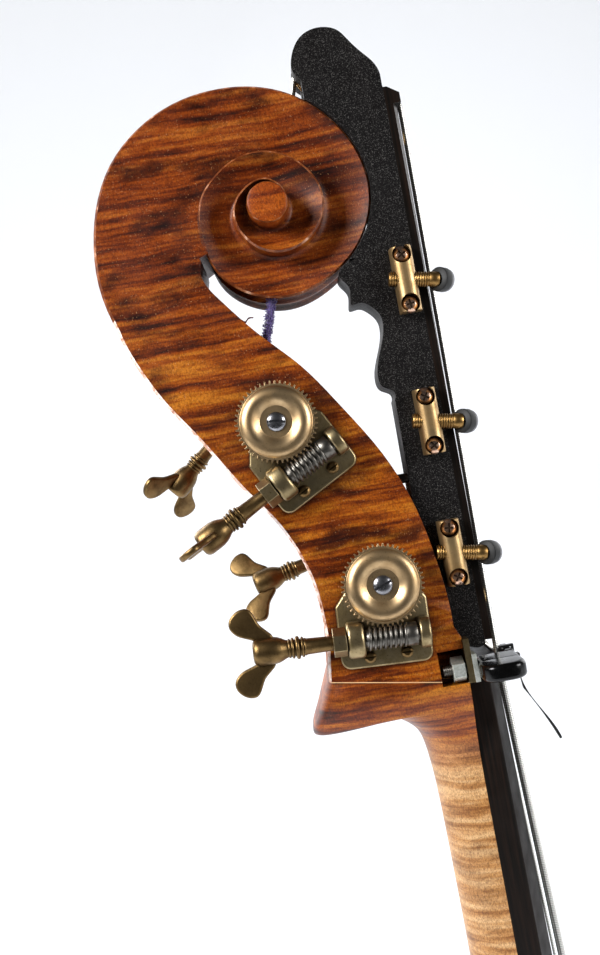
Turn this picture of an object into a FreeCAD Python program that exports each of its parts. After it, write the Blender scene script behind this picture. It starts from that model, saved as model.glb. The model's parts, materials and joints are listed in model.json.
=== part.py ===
import FreeCAD, Part
import math
import os

# Double-bass head with a low-C extension. Millimetres.
# Origin: on the neck's cut end, centred, on the plane where neck and fingerboard are glued.
# X points to the strings, Z up to the scroll, Y to the treble side.

beyond = 60.0             # reaches past the part on either side
far_beyond = 200.0        # reaches past the part in front, behind and above

# fits
running_gap = 0.08        # shaft in its bearing, on the radius
moving_gap = 0.3          # between pieces that move past each other
fitting_gap = 0.2         # between the extension and the wood behind it

# neck, fingerboard and nut
board_length = 177.0
board_side = 12.0
board_end_half_width = 24.4
board_nut_half_width = 21.5
board_end_crown = 20.5
board_nut_crown = 18.6
board_radius = 62.0
facet_start = 9.0         # where the flat under the lowest string starts
facet_drop = 0.65
neck_end_depth = 22.0
neck_top_depth = 22.9
neck_top = 128.0
nut_thickness = 7.0
nut_crown = 19.9
nut_groove = 0.05

# graft between the neck and the pegbox
joint_front = 176.0
joint_back_x = -69.0
joint_back_z = 188.5
chin_curve = [(-72.7, 178.5), (-78.1, 169.2), (-82.2, 161.2)]
chin_under = [(-79.8, 159.7), (-64.1, 164.0), (-47.0, 164.0), (-31.7, 154.4), (-24.9, 143.9), (-22.7, 114.0)]
shoulder = [(35.6, 178.0), (33.0, 165.0), (27.0, 150.0), (23.5, 138.0), (22.3, 114.0)]

# pegbox and scroll, seen from the side as (x, z)
pegbox_half_width = 35.5  # where the pegbox starts
pegbox_start = 189.0
side_slope = 1.935        # degrees that each side leans inwards
side_tilt = math.radians(side_slope)
flat_front = 199.0        # the front edge is level from the nut to here
front_edge = [(-95.4, 403.3), (-88.0, 387.4), (-71.4, 366.3), (-54.3, 347.7), (-38.2, 324.2), (-22.7, 298.3),
              (-11.2, 269.6), (-5.8, 244.2), (-2.9, 218.0), (-2.8, 205.0)]
back_edge = [(-66.5, 213.4), (-68.8, 242.2), (-79.1, 269.0), (-95.1, 292.8), (-110.8, 318.7), (-126.8, 343.2),
             (-137.9, 366.8), (-145.0, 390.3), (-147.3, 406.2)]
throat = (-93.7, 408.9)
eye_x = -55.8
eye_z = 428.9
eye_radius = 10.3
eye_half_width = 42.0
turn_step = 45
turn_radii = [90.0, 76.6, 64.0, 56.5, 53.0, 48.0, 45.1, 41.9, 36.2, 31.2, 29.0, 27.8, 28.5, 26.5, 23.6, 20.0,
              17.7, 14.4, 13.1, 11.5]
second_turn = 8           # entry of turn_radii where each turn starts
third_turn = 16
second_half_width = 31.5
third_half_width = 37.5

# hollow of the pegbox
hollow_half_width = 20.5
hollow_width_at = 232.0
hollow_slope = 1.13
hollow_start = 190.0
hollow_floor = [(-55.5, 208.0), (-56.0, 232.0), (-61.0, 252.0), (-71.5, 277.0), (-89.0, 303.0), (-105.0, 329.0),
                (-118.5, 352.0), (-128.0, 374.0), (-131.0, 389.0)]
hollow_top = [(-124.0, 397.0), (-100.0, 398.0)]
hollow_mouth = [(-90.0, 399.0), (-70.0, 377.0), (-20.0, 345.0)]

# machines, one gear, worm and key for each string
gear_teeth = 50
tooth_pitch = 2.5
tooth_tip = 0.6
tooth_root = 1.0
tooth_thickness = 0.8
gear_bottom = 8.0
gear_top = 12.4
dish_radius = 18.0
dish_crest_radius = 13.5
dish_crest = 15.0
gear_hub_radius = 8.1
gear_boss_radius = 9.0
spigot_radius = 4.0
screw_radius = 4.85
screw_dome = 2.2
screw_shank = 1.8
screw_slot = 1.2
roller_radius = 5.5
roller_seat = 7.0         # how far the roller goes into the other side
worm_pitch_radius = 5.5
worm_tip = 0.7
worm_root = 0.9
thread_thickness = 0.9
thread_turns = 7
worm_height = 10.2
journal_radius = 3.6
collar_radius = 5.8
collar_end = 14.3
collar_start = 8.2
plain_radius = 4.2
post_inner = 14.6
post_outer = 20.6
key_post = (15.0, 34.0)
end_post = (19.0, 33.0)
post_height = 16.2
plate_thickness = 3.0
plate_bevel = 1.2
plate_head_radius = 13.5
plate_shoulder = 9.0
plate_foot = 40.5
plate_end_side = 21.5
plate_key_side = 24.5
plate_corner = 5.0
plate_screws = [(10.0, 35.3), (-8.5, 34.7), (11.0, 8.0), (-11.0, 8.0)]
plate_screw_head = 3.0
plate_screw_shank = 1.5
plate_screw_length = 12.0
lock_nut_start = 20.9
lock_nut_end = 27.5
lock_nut_flats = 12.7
key_spigot_radius = 2.5
key_spigot_end = 36.0
key_shaft_radius = 4.0
key_beads_start = 41.5
key_bead_count = 4
key_bead_width = 2.25
key_bead_radius = 5.75
key_barrel_radius = 6.5
key_cheek_start = 57.0
key_cheek_end = 67.0
key_cheek_width = 14.0
key_cheek_depth = 11.0
blade_thickness = 3.0
blade_edge = [(64.0, 4.5), (68.0, 6.5), (74.0, 9.0), (77.5, 13.0), (77.0, 17.5), (73.0, 21.0), (68.0, 22.0)]
blade_back = [(66.0, 20.5), (64.5, 17.0), (62.5, 13.0), (58.0, 9.0), (56.5, 7.0)]

# strings: diameter, y and x of the centre at the neck's end and at the nut
nut_seat = 182.0
low_string = {"diameter": 2.7, "end": (24.9, -15.9), "nut": (19.0, -14.5)}
a_string = {"diameter": 2.2, "end": (26.3, -5.3), "nut": (20.45, -4.9)}
d_string = {"diameter": 2.2, "end": (26.3, 5.3), "nut": (20.45, 4.9)}
g_string = {"diameter": 1.6, "end": (24.9, 15.9), "nut": (19.3, 14.5)}
nut_bend = 6.0
string_wrap = 75.0        # degrees that the string lies on its winding
string_tail = 1.0

# each machine: side (-1 bass, 1 treble), gear axis on the side face, angle of its worm, roll of its key,
# its string, the winding's first edge and turns
machines = [
    {"side": -1, "x": -71.2, "z": 320.7, "angle": 27.5, "key_roll": 90.0, "string": low_string,
     "winding_from": -17.05, "turns": 3},
    {"side": -1, "x": -34.4, "z": 232.5, "angle": -3.5, "key_roll": 0.0, "string": a_string,
     "winding_from": -9.4, "turns": 4},
    {"side": 1, "x": -101.8, "z": 358.7, "angle": 39.8, "key_roll": 50.0, "string": d_string,
     "winding_from": 0.6, "turns": 4},
    {"side": 1, "x": -40.7, "z": 274.5, "angle": 12.0, "key_roll": -30.0, "string": g_string,
     "winding_from": 10.5, "turns": 5},
]

# extension
extension_near = -26.5
extension_far = -2.5
extension_front = 12.5
extension_top = 514.5
extension_foot = [(4.0, 192.3), (9.5, 190.9), (extension_front, 192.2)]
head_curve = [(extension_front, 28.7), (9.3, 20.9), (4.6, 15.4), (-0.7, 8.2), (-4.9, 2.8), (-10.6, 0.2), (-17.3, 0.0),
              (-22.8, 2.0), (-30.6, 13.5), (-31.2, 17.0), (-29.2, 22.5)]  # x, and distance below the top
extension_head = [(x, extension_top - drop) for x, drop in head_curve]
extension_shelf = [(-27.5, extension_top - 24.0), (-27.5, extension_top - 36.5)]
extension_waist = [(-16.0, 396.0), (-25.5, 386.6), (-22.4, 380.9), (-22.8, 373.2), (-18.6, 373.5),
                   (-13.9, 371.1), (-9.8, 365.7), (-10.1, 355.4), (-15.2, 341.9), (-16.5, 334.9), (-14.9, 329.5),
                   (-10.3, 326.6), (-10.1, 321.9)]
extension_straight = (-10.6, 268.0)
strip_start = 194.0
strip_end = extension_top - 44.5
strip_edge = 16.4
strip_start_crown = 17.2
strip_end_crown = 19.6
strip_far_drop = 1.4
block_length = 9.0
block_height = 20.4
block_string = (21.2, strip_end + 2.5)
pulley_x = -15.7
pulley_z = extension_top - 16.7
pulley_string_radius = 13.0
pulley_flange = 14.5
pulley_width = 5.5
slot_width = 6.2
slot_floor = extension_top - 32.3
pin_radius = 2.5
throat_exit = (-61.5, 386.6)
string_hole = 3.0
prop_radius = 2.5
prop_z = 282.0
prop_y = -24.0
prop_depth = 12.0
fixing_screw_radius = 3.6
fixing_screw_length = 14.0
fixing_screw_sink = 1.2
channel_gap = 1.2         # room round the string behind the foot
fixing_screws = [strip_start + 21.0, strip_end - 15.0]

# capos
capo_centres = [(5.75, 380.2), (4.5, 308.1), (4.3, 241.0)]
bracket_width = 11.3
bracket_height = 33.3
bracket_depth = 10.0
bracket_round = 4.0
pocket_radius = 4.9
pocket_floor = 3.2
pocket_offset = 12.5
bracket_screw_head = 3.15
bracket_screw_rise = 1.9
bracket_screw_shank = 1.6
bracket_screw_length = 12.0
rod_radius = 3.9
rod_tilt = 10.4
rod_back = 8.6
rod_front = 16.9
pad_radius = 6.15
pad_thickness = 7.0
pad_turn = 45.0
pad_overlap = 1.5
pad_round = 0.8

# gate at the nut
gate_y = -32.0
gate_z = 183.0
gate_plate_near = -37.0
gate_plate_far = -22.0
gate_plate_top = 198.0
gate_plate_thickness = 3.0
washer_thickness = 2.4
washer_top = 190.0
stud_radius = 3.0
stud_back = -12.0
stud_front = 20.0
stud_nut_flats = 11.5
stud_nut_front = -1.0
stud_nut_back = -7.2
lever_thickness = 8.5
lever_front = 26.0
lever_handle = -62.0
lever_tip = -7.0
lever_hub = 5.0
lever_over_string = 20.95
lever_round = 3.0
notch_back = -13.5
notch_top = 193.5
notch_far = -24.5

# cable tie round the lever's arm
tie_near = -20.6
tie_width = 2.6
tie_thickness = 1.2
tie_head = 4.6
tie_reach = 43.3
tie_tail = [(tie_reach - 13.8, 165.4), (tie_reach - 4.0, 146.3), (tie_reach, 136.6)]


def side_view(x, z):
    return FreeCAD.Vector(x, 0, z)


def front_view(y, z):
    return FreeCAD.Vector(0, y, z)


def plan_view(x, y):
    return FreeCAD.Vector(x, y, 0)


def closed_face(runs, view):
    """Face whose outline is the runs in turn: one point is a straight line to it, more are a smooth curve."""
    edges = []
    previous = runs[-1][-1]
    for run in runs:
        corners = [view(*corner) for corner in [previous] + run]
        if len(corners) == 2:
            edges.append(Part.makeLine(corners[0], corners[1]))
        else:
            spline = Part.BSplineCurve()
            spline.interpolate(corners)
            edges.append(spline.toShape())
        previous = run[-1]
    return Part.Face(Part.Wire(edges))


def straight_runs(corners):
    return [[corner] for corner in corners]


def side_prism(runs, near, far):
    face = closed_face(runs, side_view)
    face.translate(FreeCAD.Vector(0, near, 0))
    return face.extrude(FreeCAD.Vector(0, far - near, 0))


def front_prism(runs, back, front):
    face = closed_face(runs, front_view)
    face.translate(FreeCAD.Vector(back, 0, 0))
    return face.extrude(FreeCAD.Vector(front - back, 0, 0))


def box(low, high):
    size = [b - a for a, b in zip(low, high)]
    return Part.makeBox(size[0], size[1], size[2], FreeCAD.Vector(*low))


def rod_between(start, end, radius):
    along = end - start
    return Part.makeCylinder(radius, along.Length, start, along)


def hex_prism(flats, start, length, direction):
    corner_radius = flats / math.sqrt(3)
    corners = []
    for step in range(6):
        angle = math.radians(60 * step)
        corners.append((corner_radius * math.cos(angle), corner_radius * math.sin(angle)))
    prism = closed_face(straight_runs(corners), plan_view).extrude(FreeCAD.Vector(0, 0, length))
    prism.Placement = FreeCAD.Placement(start, FreeCAD.Rotation(FreeCAD.Vector(0, 0, 1), direction))
    return prism


def turned(profile):
    """Solid of revolution about Z from (radius, height) corners."""
    face = closed_face(straight_runs(profile), side_view)
    return face.revolve(FreeCAD.Vector(0, 0, 0), FreeCAD.Vector(0, 0, 1), 360)


def half_width(z):
    return pegbox_half_width - math.tan(side_tilt) * (z - pegbox_start)


def polar(center, radius, angle):
    return (center[0] + radius * math.cos(angle), center[1] + radius * math.sin(angle))


def tube(route, bends, radius):
    """Round tube along straight runs joined by arcs; bends gives the arc radius at each inner corner."""
    edges = []
    start = route[0]
    for index, bend in enumerate(bends):
        corner = route[index + 1]
        before = (corner - route[index]).normalize()
        after = (route[index + 2] - corner).normalize()
        turn = before.getAngle(after)
        reach = bend * math.tan(turn / 2)
        into = corner - before * reach
        out = corner + after * reach
        middle_line = (after - before).normalize()
        middle = corner + middle_line * (bend / math.cos(turn / 2) - bend)
        edges.append(Part.makeLine(start, into))
        edges.append(Part.Arc(into, middle, out).toShape())
        start = out
    edges.append(Part.makeLine(start, route[-1]))
    spine = Part.Wire(edges)
    circle = Part.Wire([Part.makeCircle(radius, route[0], route[1] - route[0])])
    return spine.makePipeShell([circle], True, False)


def volute_points(first, last, grow=0.0):
    points = []
    for step in range(first, last + 1):
        angle = math.radians(180 - turn_step * step)
        points.append(polar((eye_x, eye_z), turn_radii[step] + grow, angle))
    return points


# ---- neck, fingerboard, nut ----

def neck_section(z, half, depth):
    """Half ellipse behind the glue plane, closed by a straight line across it."""
    ellipse = Part.Ellipse(FreeCAD.Vector(0, half, z), FreeCAD.Vector(-depth, 0, z), FreeCAD.Vector(0, 0, z))
    behind = ellipse.value(math.pi / 2).x < 0
    curve = Part.ArcOfEllipse(ellipse, 0, math.pi) if behind else Part.ArcOfEllipse(ellipse, -math.pi, 0)
    shape = curve.toShape()
    ends = [vertex.Point for vertex in shape.Vertexes]
    return Part.Wire([shape, Part.makeLine(ends[-1], ends[0])])


def make_neck():
    handle = Part.makeLoft([
        neck_section(0, board_end_half_width, neck_end_depth),
        neck_section(neck_top, shoulder[-1][0] + 0.4, neck_top_depth - 0.7),
    ], True, True)
    side = side_prism([[(joint_back_x, joint_back_z)], chin_curve, chin_under, [(0, chin_under[-1][1])],
                       [(0, joint_front)]], -beyond, beyond)
    top = joint_back_z + 5
    outline = [[(-shoulder[0][0], top)], [(-shoulder[0][0], shoulder[0][1])],
               [(-half, z) for half, z in shoulder[1:]],
               [(shoulder[-1][0], shoulder[-1][1])],
               [(half, z) for half, z in reversed(shoulder[:-1])], [(shoulder[0][0], top)]]
    chin = side.common(front_prism(outline, joint_back_x - 30, 5))
    return handle.fuse(chin).cut(gate_hollow()).removeSplitter()


def board_section(z, half, crown):
    facet = FreeCAD.Vector(crown - facet_drop, -facet_start, z)
    drop = board_radius - math.sqrt(board_radius ** 2 - half ** 2)
    far_corner = FreeCAD.Vector(crown - drop, half, z)
    near_corner = FreeCAD.Vector(board_side, -half, z)
    return Part.Wire([
        Part.makeLine(FreeCAD.Vector(0, -half, z), near_corner),
        Part.makeLine(near_corner, facet),
        Part.Arc(facet, FreeCAD.Vector(crown, 0, z), far_corner).toShape(),
        Part.makeLine(far_corner, FreeCAD.Vector(0, half, z)),
        Part.makeLine(FreeCAD.Vector(0, half, z), FreeCAD.Vector(0, -half, z)),
    ])


def make_fingerboard():
    return Part.makeLoft([
        board_section(0, board_end_half_width, board_end_crown),
        board_section(board_length, board_nut_half_width, board_nut_crown),
    ], True, True)


def make_nut():
    half = board_nut_half_width
    low = board_side + 2.5
    face = closed_face([[(low, -half)], [(nut_crown, 0), (low, half)], [(0, half)], [(0, -half)]], plan_view)
    nut = face.extrude(FreeCAD.Vector(0, 0, nut_thickness))
    nut.translate(FreeCAD.Vector(0, 0, board_length))
    for string, circles in string_routes().values():
        nut = nut.cut(make_string(string, circles, nut_groove))
    return nut


# ---- strings ----

def string_start(string):
    end_x, end_y = string["end"]
    nut_x, nut_y = string["nut"]
    return [FreeCAD.Vector(end_x, end_y, 0), FreeCAD.Vector(nut_x, nut_y, nut_seat)]


def tangent_angle(first, second):
    """Direction from both centres to the line that touches the two circles on its right-hand side."""
    (x1, z1, r1), (x2, z2, r2) = first, second
    distance = math.hypot(x2 - x1, z2 - z1)
    return math.atan2(z2 - z1, x2 - x1) - math.acos((r1 - r2) / distance)


def wrap_corner(circle, angle_in, angle_out):
    turn = (angle_out - angle_in) % (2 * math.pi)
    reach = circle[2] / math.cos(turn / 2)
    return polar(circle[:2], reach, angle_in + turn / 2)


def string_over(circles):
    """Corners and bends of a string that starts at the first circle and ends wrapped on the last one."""
    angles = [tangent_angle(a, b) for a, b in zip(circles, circles[1:])]
    angles.append(angles[-1] + math.radians(string_wrap))
    corners = []
    bends = []
    for index in range(1, len(circles)):
        circle = circles[index]
        if circle[2] > 0:
            corners.append(wrap_corner(circle, angles[index - 1], angles[index]))
            bends.append(circle[2])
        else:
            corners.append(circle[:2])
            bends.append(nut_bend)
    end = polar(circles[-1][:2], circles[-1][2], angles[-1])
    tail = polar(end, string_tail, angles[-1] + math.pi / 2)
    return corners + [tail], bends


def winding_circle(machine, gap):
    string = machine["string"]
    x, z = roller_centre(machine, string["nut"][1])
    return (x, z, roller_radius + string["diameter"] * 1.5 + gap)


def bare_circle(machine, string):
    x, z = roller_centre(machine, string["nut"][1])
    return (x, z, roller_radius + moving_gap + string["diameter"] / 2)


def make_string(string, circles, gap=0.0):
    start = string_start(string)
    nut_x, nut_y = string["nut"]
    corners, bends = string_over([(nut_x, nut_seat, 0)] + circles)
    route = start + [FreeCAD.Vector(x, nut_y, z) for x, z in corners]
    return tube(route, [nut_bend] + bends, string["diameter"] / 2 + gap)


def low_string_circles():
    return [(block_string[0], block_string[1], 0), (pulley_x, pulley_z, pulley_string_radius),
            (throat_exit[0], throat_exit[1], 0), winding_circle(machines[0], moving_gap)]


def string_routes():
    return {
        "string_low": (low_string, low_string_circles()),
        "string_a": (a_string, [winding_circle(machines[1], moving_gap)]),
        "string_d": (d_string, [bare_circle(machines[3], d_string), bare_circle(machines[0], d_string),
                                winding_circle(machines[2], moving_gap)]),
        "string_g": (g_string, [winding_circle(machines[3], moving_gap)]),
    }


# ---- machines, drawn with u to the key, v from the gear to the worm and w out of the pegbox ----

def machine_origin(machine):
    return FreeCAD.Vector(machine["x"], machine["side"] * half_width(machine["z"]), machine["z"])


def roller_centre(machine, y):
    depth = abs(y - machine_origin(machine).y)
    return (machine["x"], machine["z"] - depth * math.tan(side_tilt))


def machine_height(machine, y):
    """Height w over the pegbox's side of a point of the roller's axis at y; negative inside."""
    return (y - machine_origin(machine).y) * machine["side"] / math.cos(side_tilt)


def on_machine(shape, machine):
    angle = math.radians(machine["angle"])
    u_axis = FreeCAD.Vector(-math.cos(angle), 0, -math.sin(angle))
    v_axis = FreeCAD.Vector(math.sin(angle), 0, -math.cos(angle))
    turn = FreeCAD.Rotation(u_axis, v_axis, FreeCAD.Vector(0, -1, 0), "XYZ")
    lean = FreeCAD.Rotation(FreeCAD.Vector(1, 0, 0), machine["side"] * side_slope)
    placed = shape.copy()
    if machine["side"] > 0:
        placed = placed.mirror(FreeCAD.Vector(0, 0, 0), FreeCAD.Vector(0, 0, 1))
    placed.Placement = FreeCAD.Placement(machine_origin(machine), lean.multiply(turn)).multiply(placed.Placement)
    return placed


def along_worm(shape, roll=0.0):
    """Stand a piece that is drawn about Z on the worm's axis, Z to the key and X to the gear."""
    placed = shape.copy()
    placed.rotate(FreeCAD.Vector(0, 0, 0), FreeCAD.Vector(0, 0, 1), roll)
    turn = FreeCAD.Rotation(FreeCAD.Vector(0, -1, 0), FreeCAD.Vector(0, 0, -1), FreeCAD.Vector(1, 0, 0), "XYZ")
    centre = FreeCAD.Vector(0, gear_pitch_radius() + worm_pitch_radius, worm_height)
    placed.Placement = FreeCAD.Placement(centre, turn).multiply(placed.Placement)
    return placed


def gear_pitch_radius():
    return gear_teeth * tooth_pitch / (2 * math.pi)


def make_gear():
    pitch_radius = gear_pitch_radius()
    tip = pitch_radius + tooth_tip
    root = pitch_radius - tooth_root
    corners = []
    for tooth in range(gear_teeth):
        middle = math.pi / 2 + 2 * math.pi * tooth / gear_teeth
        for radius, offset in [(root, -0.75), (tip, -0.35), (tip, 0.35), (root, 0.75)]:
            corners.append(polar((0, 0), radius, middle + offset * tooth_thickness / pitch_radius))
    rim = closed_face(straight_runs(corners), plan_view).extrude(FreeCAD.Vector(0, 0, gear_top - gear_bottom))
    rim.translate(FreeCAD.Vector(0, 0, gear_bottom))
    boss = Part.makeCylinder(gear_boss_radius, gear_bottom - plate_thickness - moving_gap,
                             FreeCAD.Vector(0, 0, plate_thickness + moving_gap))
    dish = closed_face([[(dish_radius, gear_top - 1)], [(dish_radius, gear_top)],
                        [(dish_crest_radius + 2.4, dish_crest - 0.6), (dish_crest_radius, dish_crest),
                         (dish_crest_radius - 2.6, dish_crest - 0.7), (gear_hub_radius, gear_top)],
                        [(gear_hub_radius, gear_top - 1)]], side_view)
    ring = dish.revolve(FreeCAD.Vector(0, 0, 0), FreeCAD.Vector(0, 0, 1), 360)
    bore = Part.makeCylinder(spigot_radius, gear_top)
    return rim.fuse([boss, ring]).cut(bore).removeSplitter()


def make_gear_screw():
    top = gear_top + screw_dome
    face = closed_face([[(screw_radius, gear_top)], [(screw_radius, gear_top + 0.6)],
                        [(screw_radius * 0.7, top - 0.5), (0, top)], [(0, -plate_screw_length)],
                        [(screw_shank, -plate_screw_length)], [(screw_shank, gear_top)]], side_view)
    screw = face.revolve(FreeCAD.Vector(0, 0, 0), FreeCAD.Vector(0, 0, 1), 360)
    slot = box((-screw_radius, -screw_slot / 2, top - 1.2), (screw_radius, screw_slot / 2, top + 1))
    return screw.cut(slot)


def hollow_half(z):
    return hollow_half_width - math.tan(math.radians(hollow_slope)) * (z - hollow_width_at)


def roller_length(machine):
    return half_width(machine["z"]) + hollow_half(machine["z"]) + roller_seat


def make_roller(machine):
    length = roller_length(machine)
    shoulder_height = plate_thickness + moving_gap
    roller = Part.makeCylinder(roller_radius, length + shoulder_height, FreeCAD.Vector(0, 0, -length))
    spigot = Part.makeCylinder(spigot_radius, gear_top - shoulder_height, FreeCAD.Vector(0, 0, shoulder_height))
    bore = Part.makeCylinder(screw_shank, gear_top + plate_screw_length, FreeCAD.Vector(0, 0, -plate_screw_length))
    return roller.fuse(spigot).cut(bore).removeSplitter()


def make_winding(machine):
    string = machine["string"]
    first = machine_height(machine, machine["winding_from"])
    step = string["diameter"] * machine["side"]
    inner = roller_radius
    edges = []
    start = FreeCAD.Vector(inner, 0, first)
    end = FreeCAD.Vector(inner, 0, first + step * machine["turns"])
    for turn in range(machine["turns"]):
        height = first + step * turn
        low = FreeCAD.Vector(inner + string["diameter"] * 0.6, 0, height)
        top = FreeCAD.Vector(inner + string["diameter"], 0, height + step / 2)
        high = FreeCAD.Vector(inner + string["diameter"] * 0.6, 0, height + step)
        if turn == 0:
            edges.append(Part.makeLine(start, low))
        edges.append(Part.Arc(low, top, high).toShape())
    edges.append(Part.makeLine(high, end))
    edges.append(Part.makeLine(end, start))
    return Part.Face(Part.Wire(edges)).revolve(FreeCAD.Vector(0, 0, 0), FreeCAD.Vector(0, 0, 1), 360)


def make_worm():
    tip = worm_pitch_radius + worm_tip
    root = worm_pitch_radius - worm_root
    thread_half = thread_turns * tooth_pitch / 2
    core = turned([(0, -post_outer), (journal_radius, -post_outer), (journal_radius, -collar_end),
                   (collar_radius, -collar_end), (collar_radius, -collar_start), (root, -collar_start),
                   (root, thread_half), (plain_radius, thread_half), (plain_radius, collar_end),
                   (journal_radius, collar_end), (journal_radius, lock_nut_end),
                   (key_spigot_radius, lock_nut_end), (key_spigot_radius, key_spigot_end), (0, key_spigot_end)])
    helix = Part.makeHelix(tooth_pitch, thread_turns * tooth_pitch, worm_pitch_radius)
    helix.translate(FreeCAD.Vector(0, 0, -thread_half))
    wide = thread_thickness * 0.65
    narrow = thread_thickness * 0.4
    corners = [(root - 0.2, -thread_half - wide), (tip, -thread_half - narrow),
               (tip, -thread_half + narrow), (root - 0.2, -thread_half + wide)]
    profile = closed_face(straight_runs(corners), side_view).OuterWire
    thread = Part.Wire(helix.Edges).makePipeShell([profile], True, True)
    return core.fuse(thread)


def make_key(roll):
    profile = [(0, lock_nut_end), (journal_radius, lock_nut_end), (key_shaft_radius, key_beads_start)]
    for bead in range(key_bead_count):
        height = key_beads_start + key_bead_width * bead
        profile.append((key_bead_radius - 1.4, height))
        profile.append((key_bead_radius, height + key_bead_width * 0.3))
        profile.append((key_bead_radius, height + key_bead_width * 0.7))
    beads_end = key_beads_start + key_bead_width * key_bead_count
    profile += [(key_bead_radius - 1.4, beads_end), (key_barrel_radius, beads_end + 0.6),
                (key_barrel_radius, key_cheek_start), (0, key_cheek_start)]
    shaft = turned(profile)
    cheeks = box((-key_cheek_width / 2, -key_cheek_depth / 2, key_cheek_start - 1),
                 (key_cheek_width / 2, key_cheek_depth / 2, key_cheek_end))
    right = [(q, u) for u, q in blade_edge]
    right_back = [(q, u) for u, q in blade_back]
    left = [(-q, u) for u, q in reversed(blade_edge)]
    left_back = [(-q, u) for u, q in reversed(blade_back)]
    runs = [[right[0]], right[1:], right_back, [left_back[0]], left_back[1:] + [left[0]], left[1:]]
    blade = side_prism(runs, -blade_thickness / 2, blade_thickness / 2)
    bore = Part.makeCylinder(key_spigot_radius, key_spigot_end)
    return along_worm(shaft.fuse([cheeks, blade]).cut(bore).removeSplitter(), roll)


def plate_outline():
    """Edges of the plate's outline in u and v."""
    side = plate_head_radius * math.cos(math.radians(45))
    arc_key = FreeCAD.Vector(side, -side, 0)
    arc_end = FreeCAD.Vector(-side, -side, 0)
    low = plate_foot - plate_corner
    inner = plate_corner * (1 - math.cos(math.radians(45)))
    points = [FreeCAD.Vector(plate_key_side, plate_shoulder, 0), arc_key, arc_end,
              FreeCAD.Vector(-plate_end_side, plate_shoulder, 0), FreeCAD.Vector(-plate_end_side, low, 0),
              FreeCAD.Vector(-plate_end_side + plate_corner, plate_foot, 0),
              FreeCAD.Vector(plate_key_side - plate_corner, plate_foot, 0),
              FreeCAD.Vector(plate_key_side, low, 0)]
    end_middle = FreeCAD.Vector(-plate_end_side + inner, plate_foot - inner, 0)
    key_middle = FreeCAD.Vector(plate_key_side - inner, plate_foot - inner, 0)
    return [
        Part.makeLine(points[0], points[1]),
        Part.Arc(points[1], FreeCAD.Vector(0, -plate_head_radius, 0), points[2]).toShape(),
        Part.makeLine(points[2], points[3]),
        Part.makeLine(points[3], points[4]),
        Part.Arc(points[4], end_middle, points[5]).toShape(),
        Part.makeLine(points[5], points[6]),
        Part.Arc(points[6], key_middle, points[7]).toShape(),
        Part.makeLine(points[7], points[0]),
    ]


def make_plate():
    plate = Part.Face(Part.Wire(plate_outline())).extrude(FreeCAD.Vector(0, 0, plate_thickness))
    top_edges = [edge for edge in plate.Edges
                 if edge.BoundBox.ZMin > plate_thickness - 0.01 and edge.BoundBox.YMin > plate_shoulder - 0.01]
    plate = plate.makeChamfer(plate_bevel, top_edges)
    key_side = box((post_inner, key_post[0], plate_thickness), (post_outer, key_post[1], post_height))
    end_side = box((-post_outer, end_post[0], plate_thickness), (-post_inner, end_post[1], post_height))
    bearing = along_worm(Part.makeCylinder(journal_radius + running_gap, 2 * post_outer + 2,
                                           FreeCAD.Vector(0, 0, -post_outer - 1)))
    roller_hole = Part.makeCylinder(roller_radius + running_gap, plate_thickness)
    plate = plate.fuse([key_side, end_side]).cut(bearing).cut(roller_hole)
    for u, v in plate_screws:
        plate = plate.cut(Part.makeCylinder(plate_screw_shank, plate_thickness, FreeCAD.Vector(u, v, 0)))
    return plate.removeSplitter()


def make_plate_screw(u, v):
    top = plate_thickness + 1.5
    screw = turned([(0, -plate_screw_length), (plate_screw_shank, -plate_screw_length + 2),
                    (plate_screw_shank, plate_thickness), (plate_screw_head, plate_thickness),
                    (plate_screw_head, plate_thickness + 0.5), (plate_screw_head * 0.6, top), (0, top)])
    slot = box((-plate_screw_head, -0.4, top - 0.8), (plate_screw_head, 0.4, top + 1))
    screw = screw.cut(slot)
    screw.translate(FreeCAD.Vector(u, v, 0))
    return screw


def make_lock_nut():
    nut = hex_prism(lock_nut_flats, FreeCAD.Vector(0, 0, lock_nut_start), lock_nut_end - lock_nut_start,
                    FreeCAD.Vector(0, 0, 1))
    bore = Part.makeCylinder(journal_radius + running_gap, lock_nut_end)
    return along_worm(nut.cut(bore))


# ---- scroll and pegbox ----

def scroll_outline(grow):
    """Side outline of scroll and pegbox; grow moves the front and the scroll's edge outwards."""
    first_turn = volute_points(0, second_turn - 1, grow)
    front = [(x + grow * 1.2, z) for x, z in front_edge]
    return [[(joint_back_x, joint_back_z)], back_edge + first_turn, [throat], front,
            [(grow, flat_front)], [(grow, joint_front)]]


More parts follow.
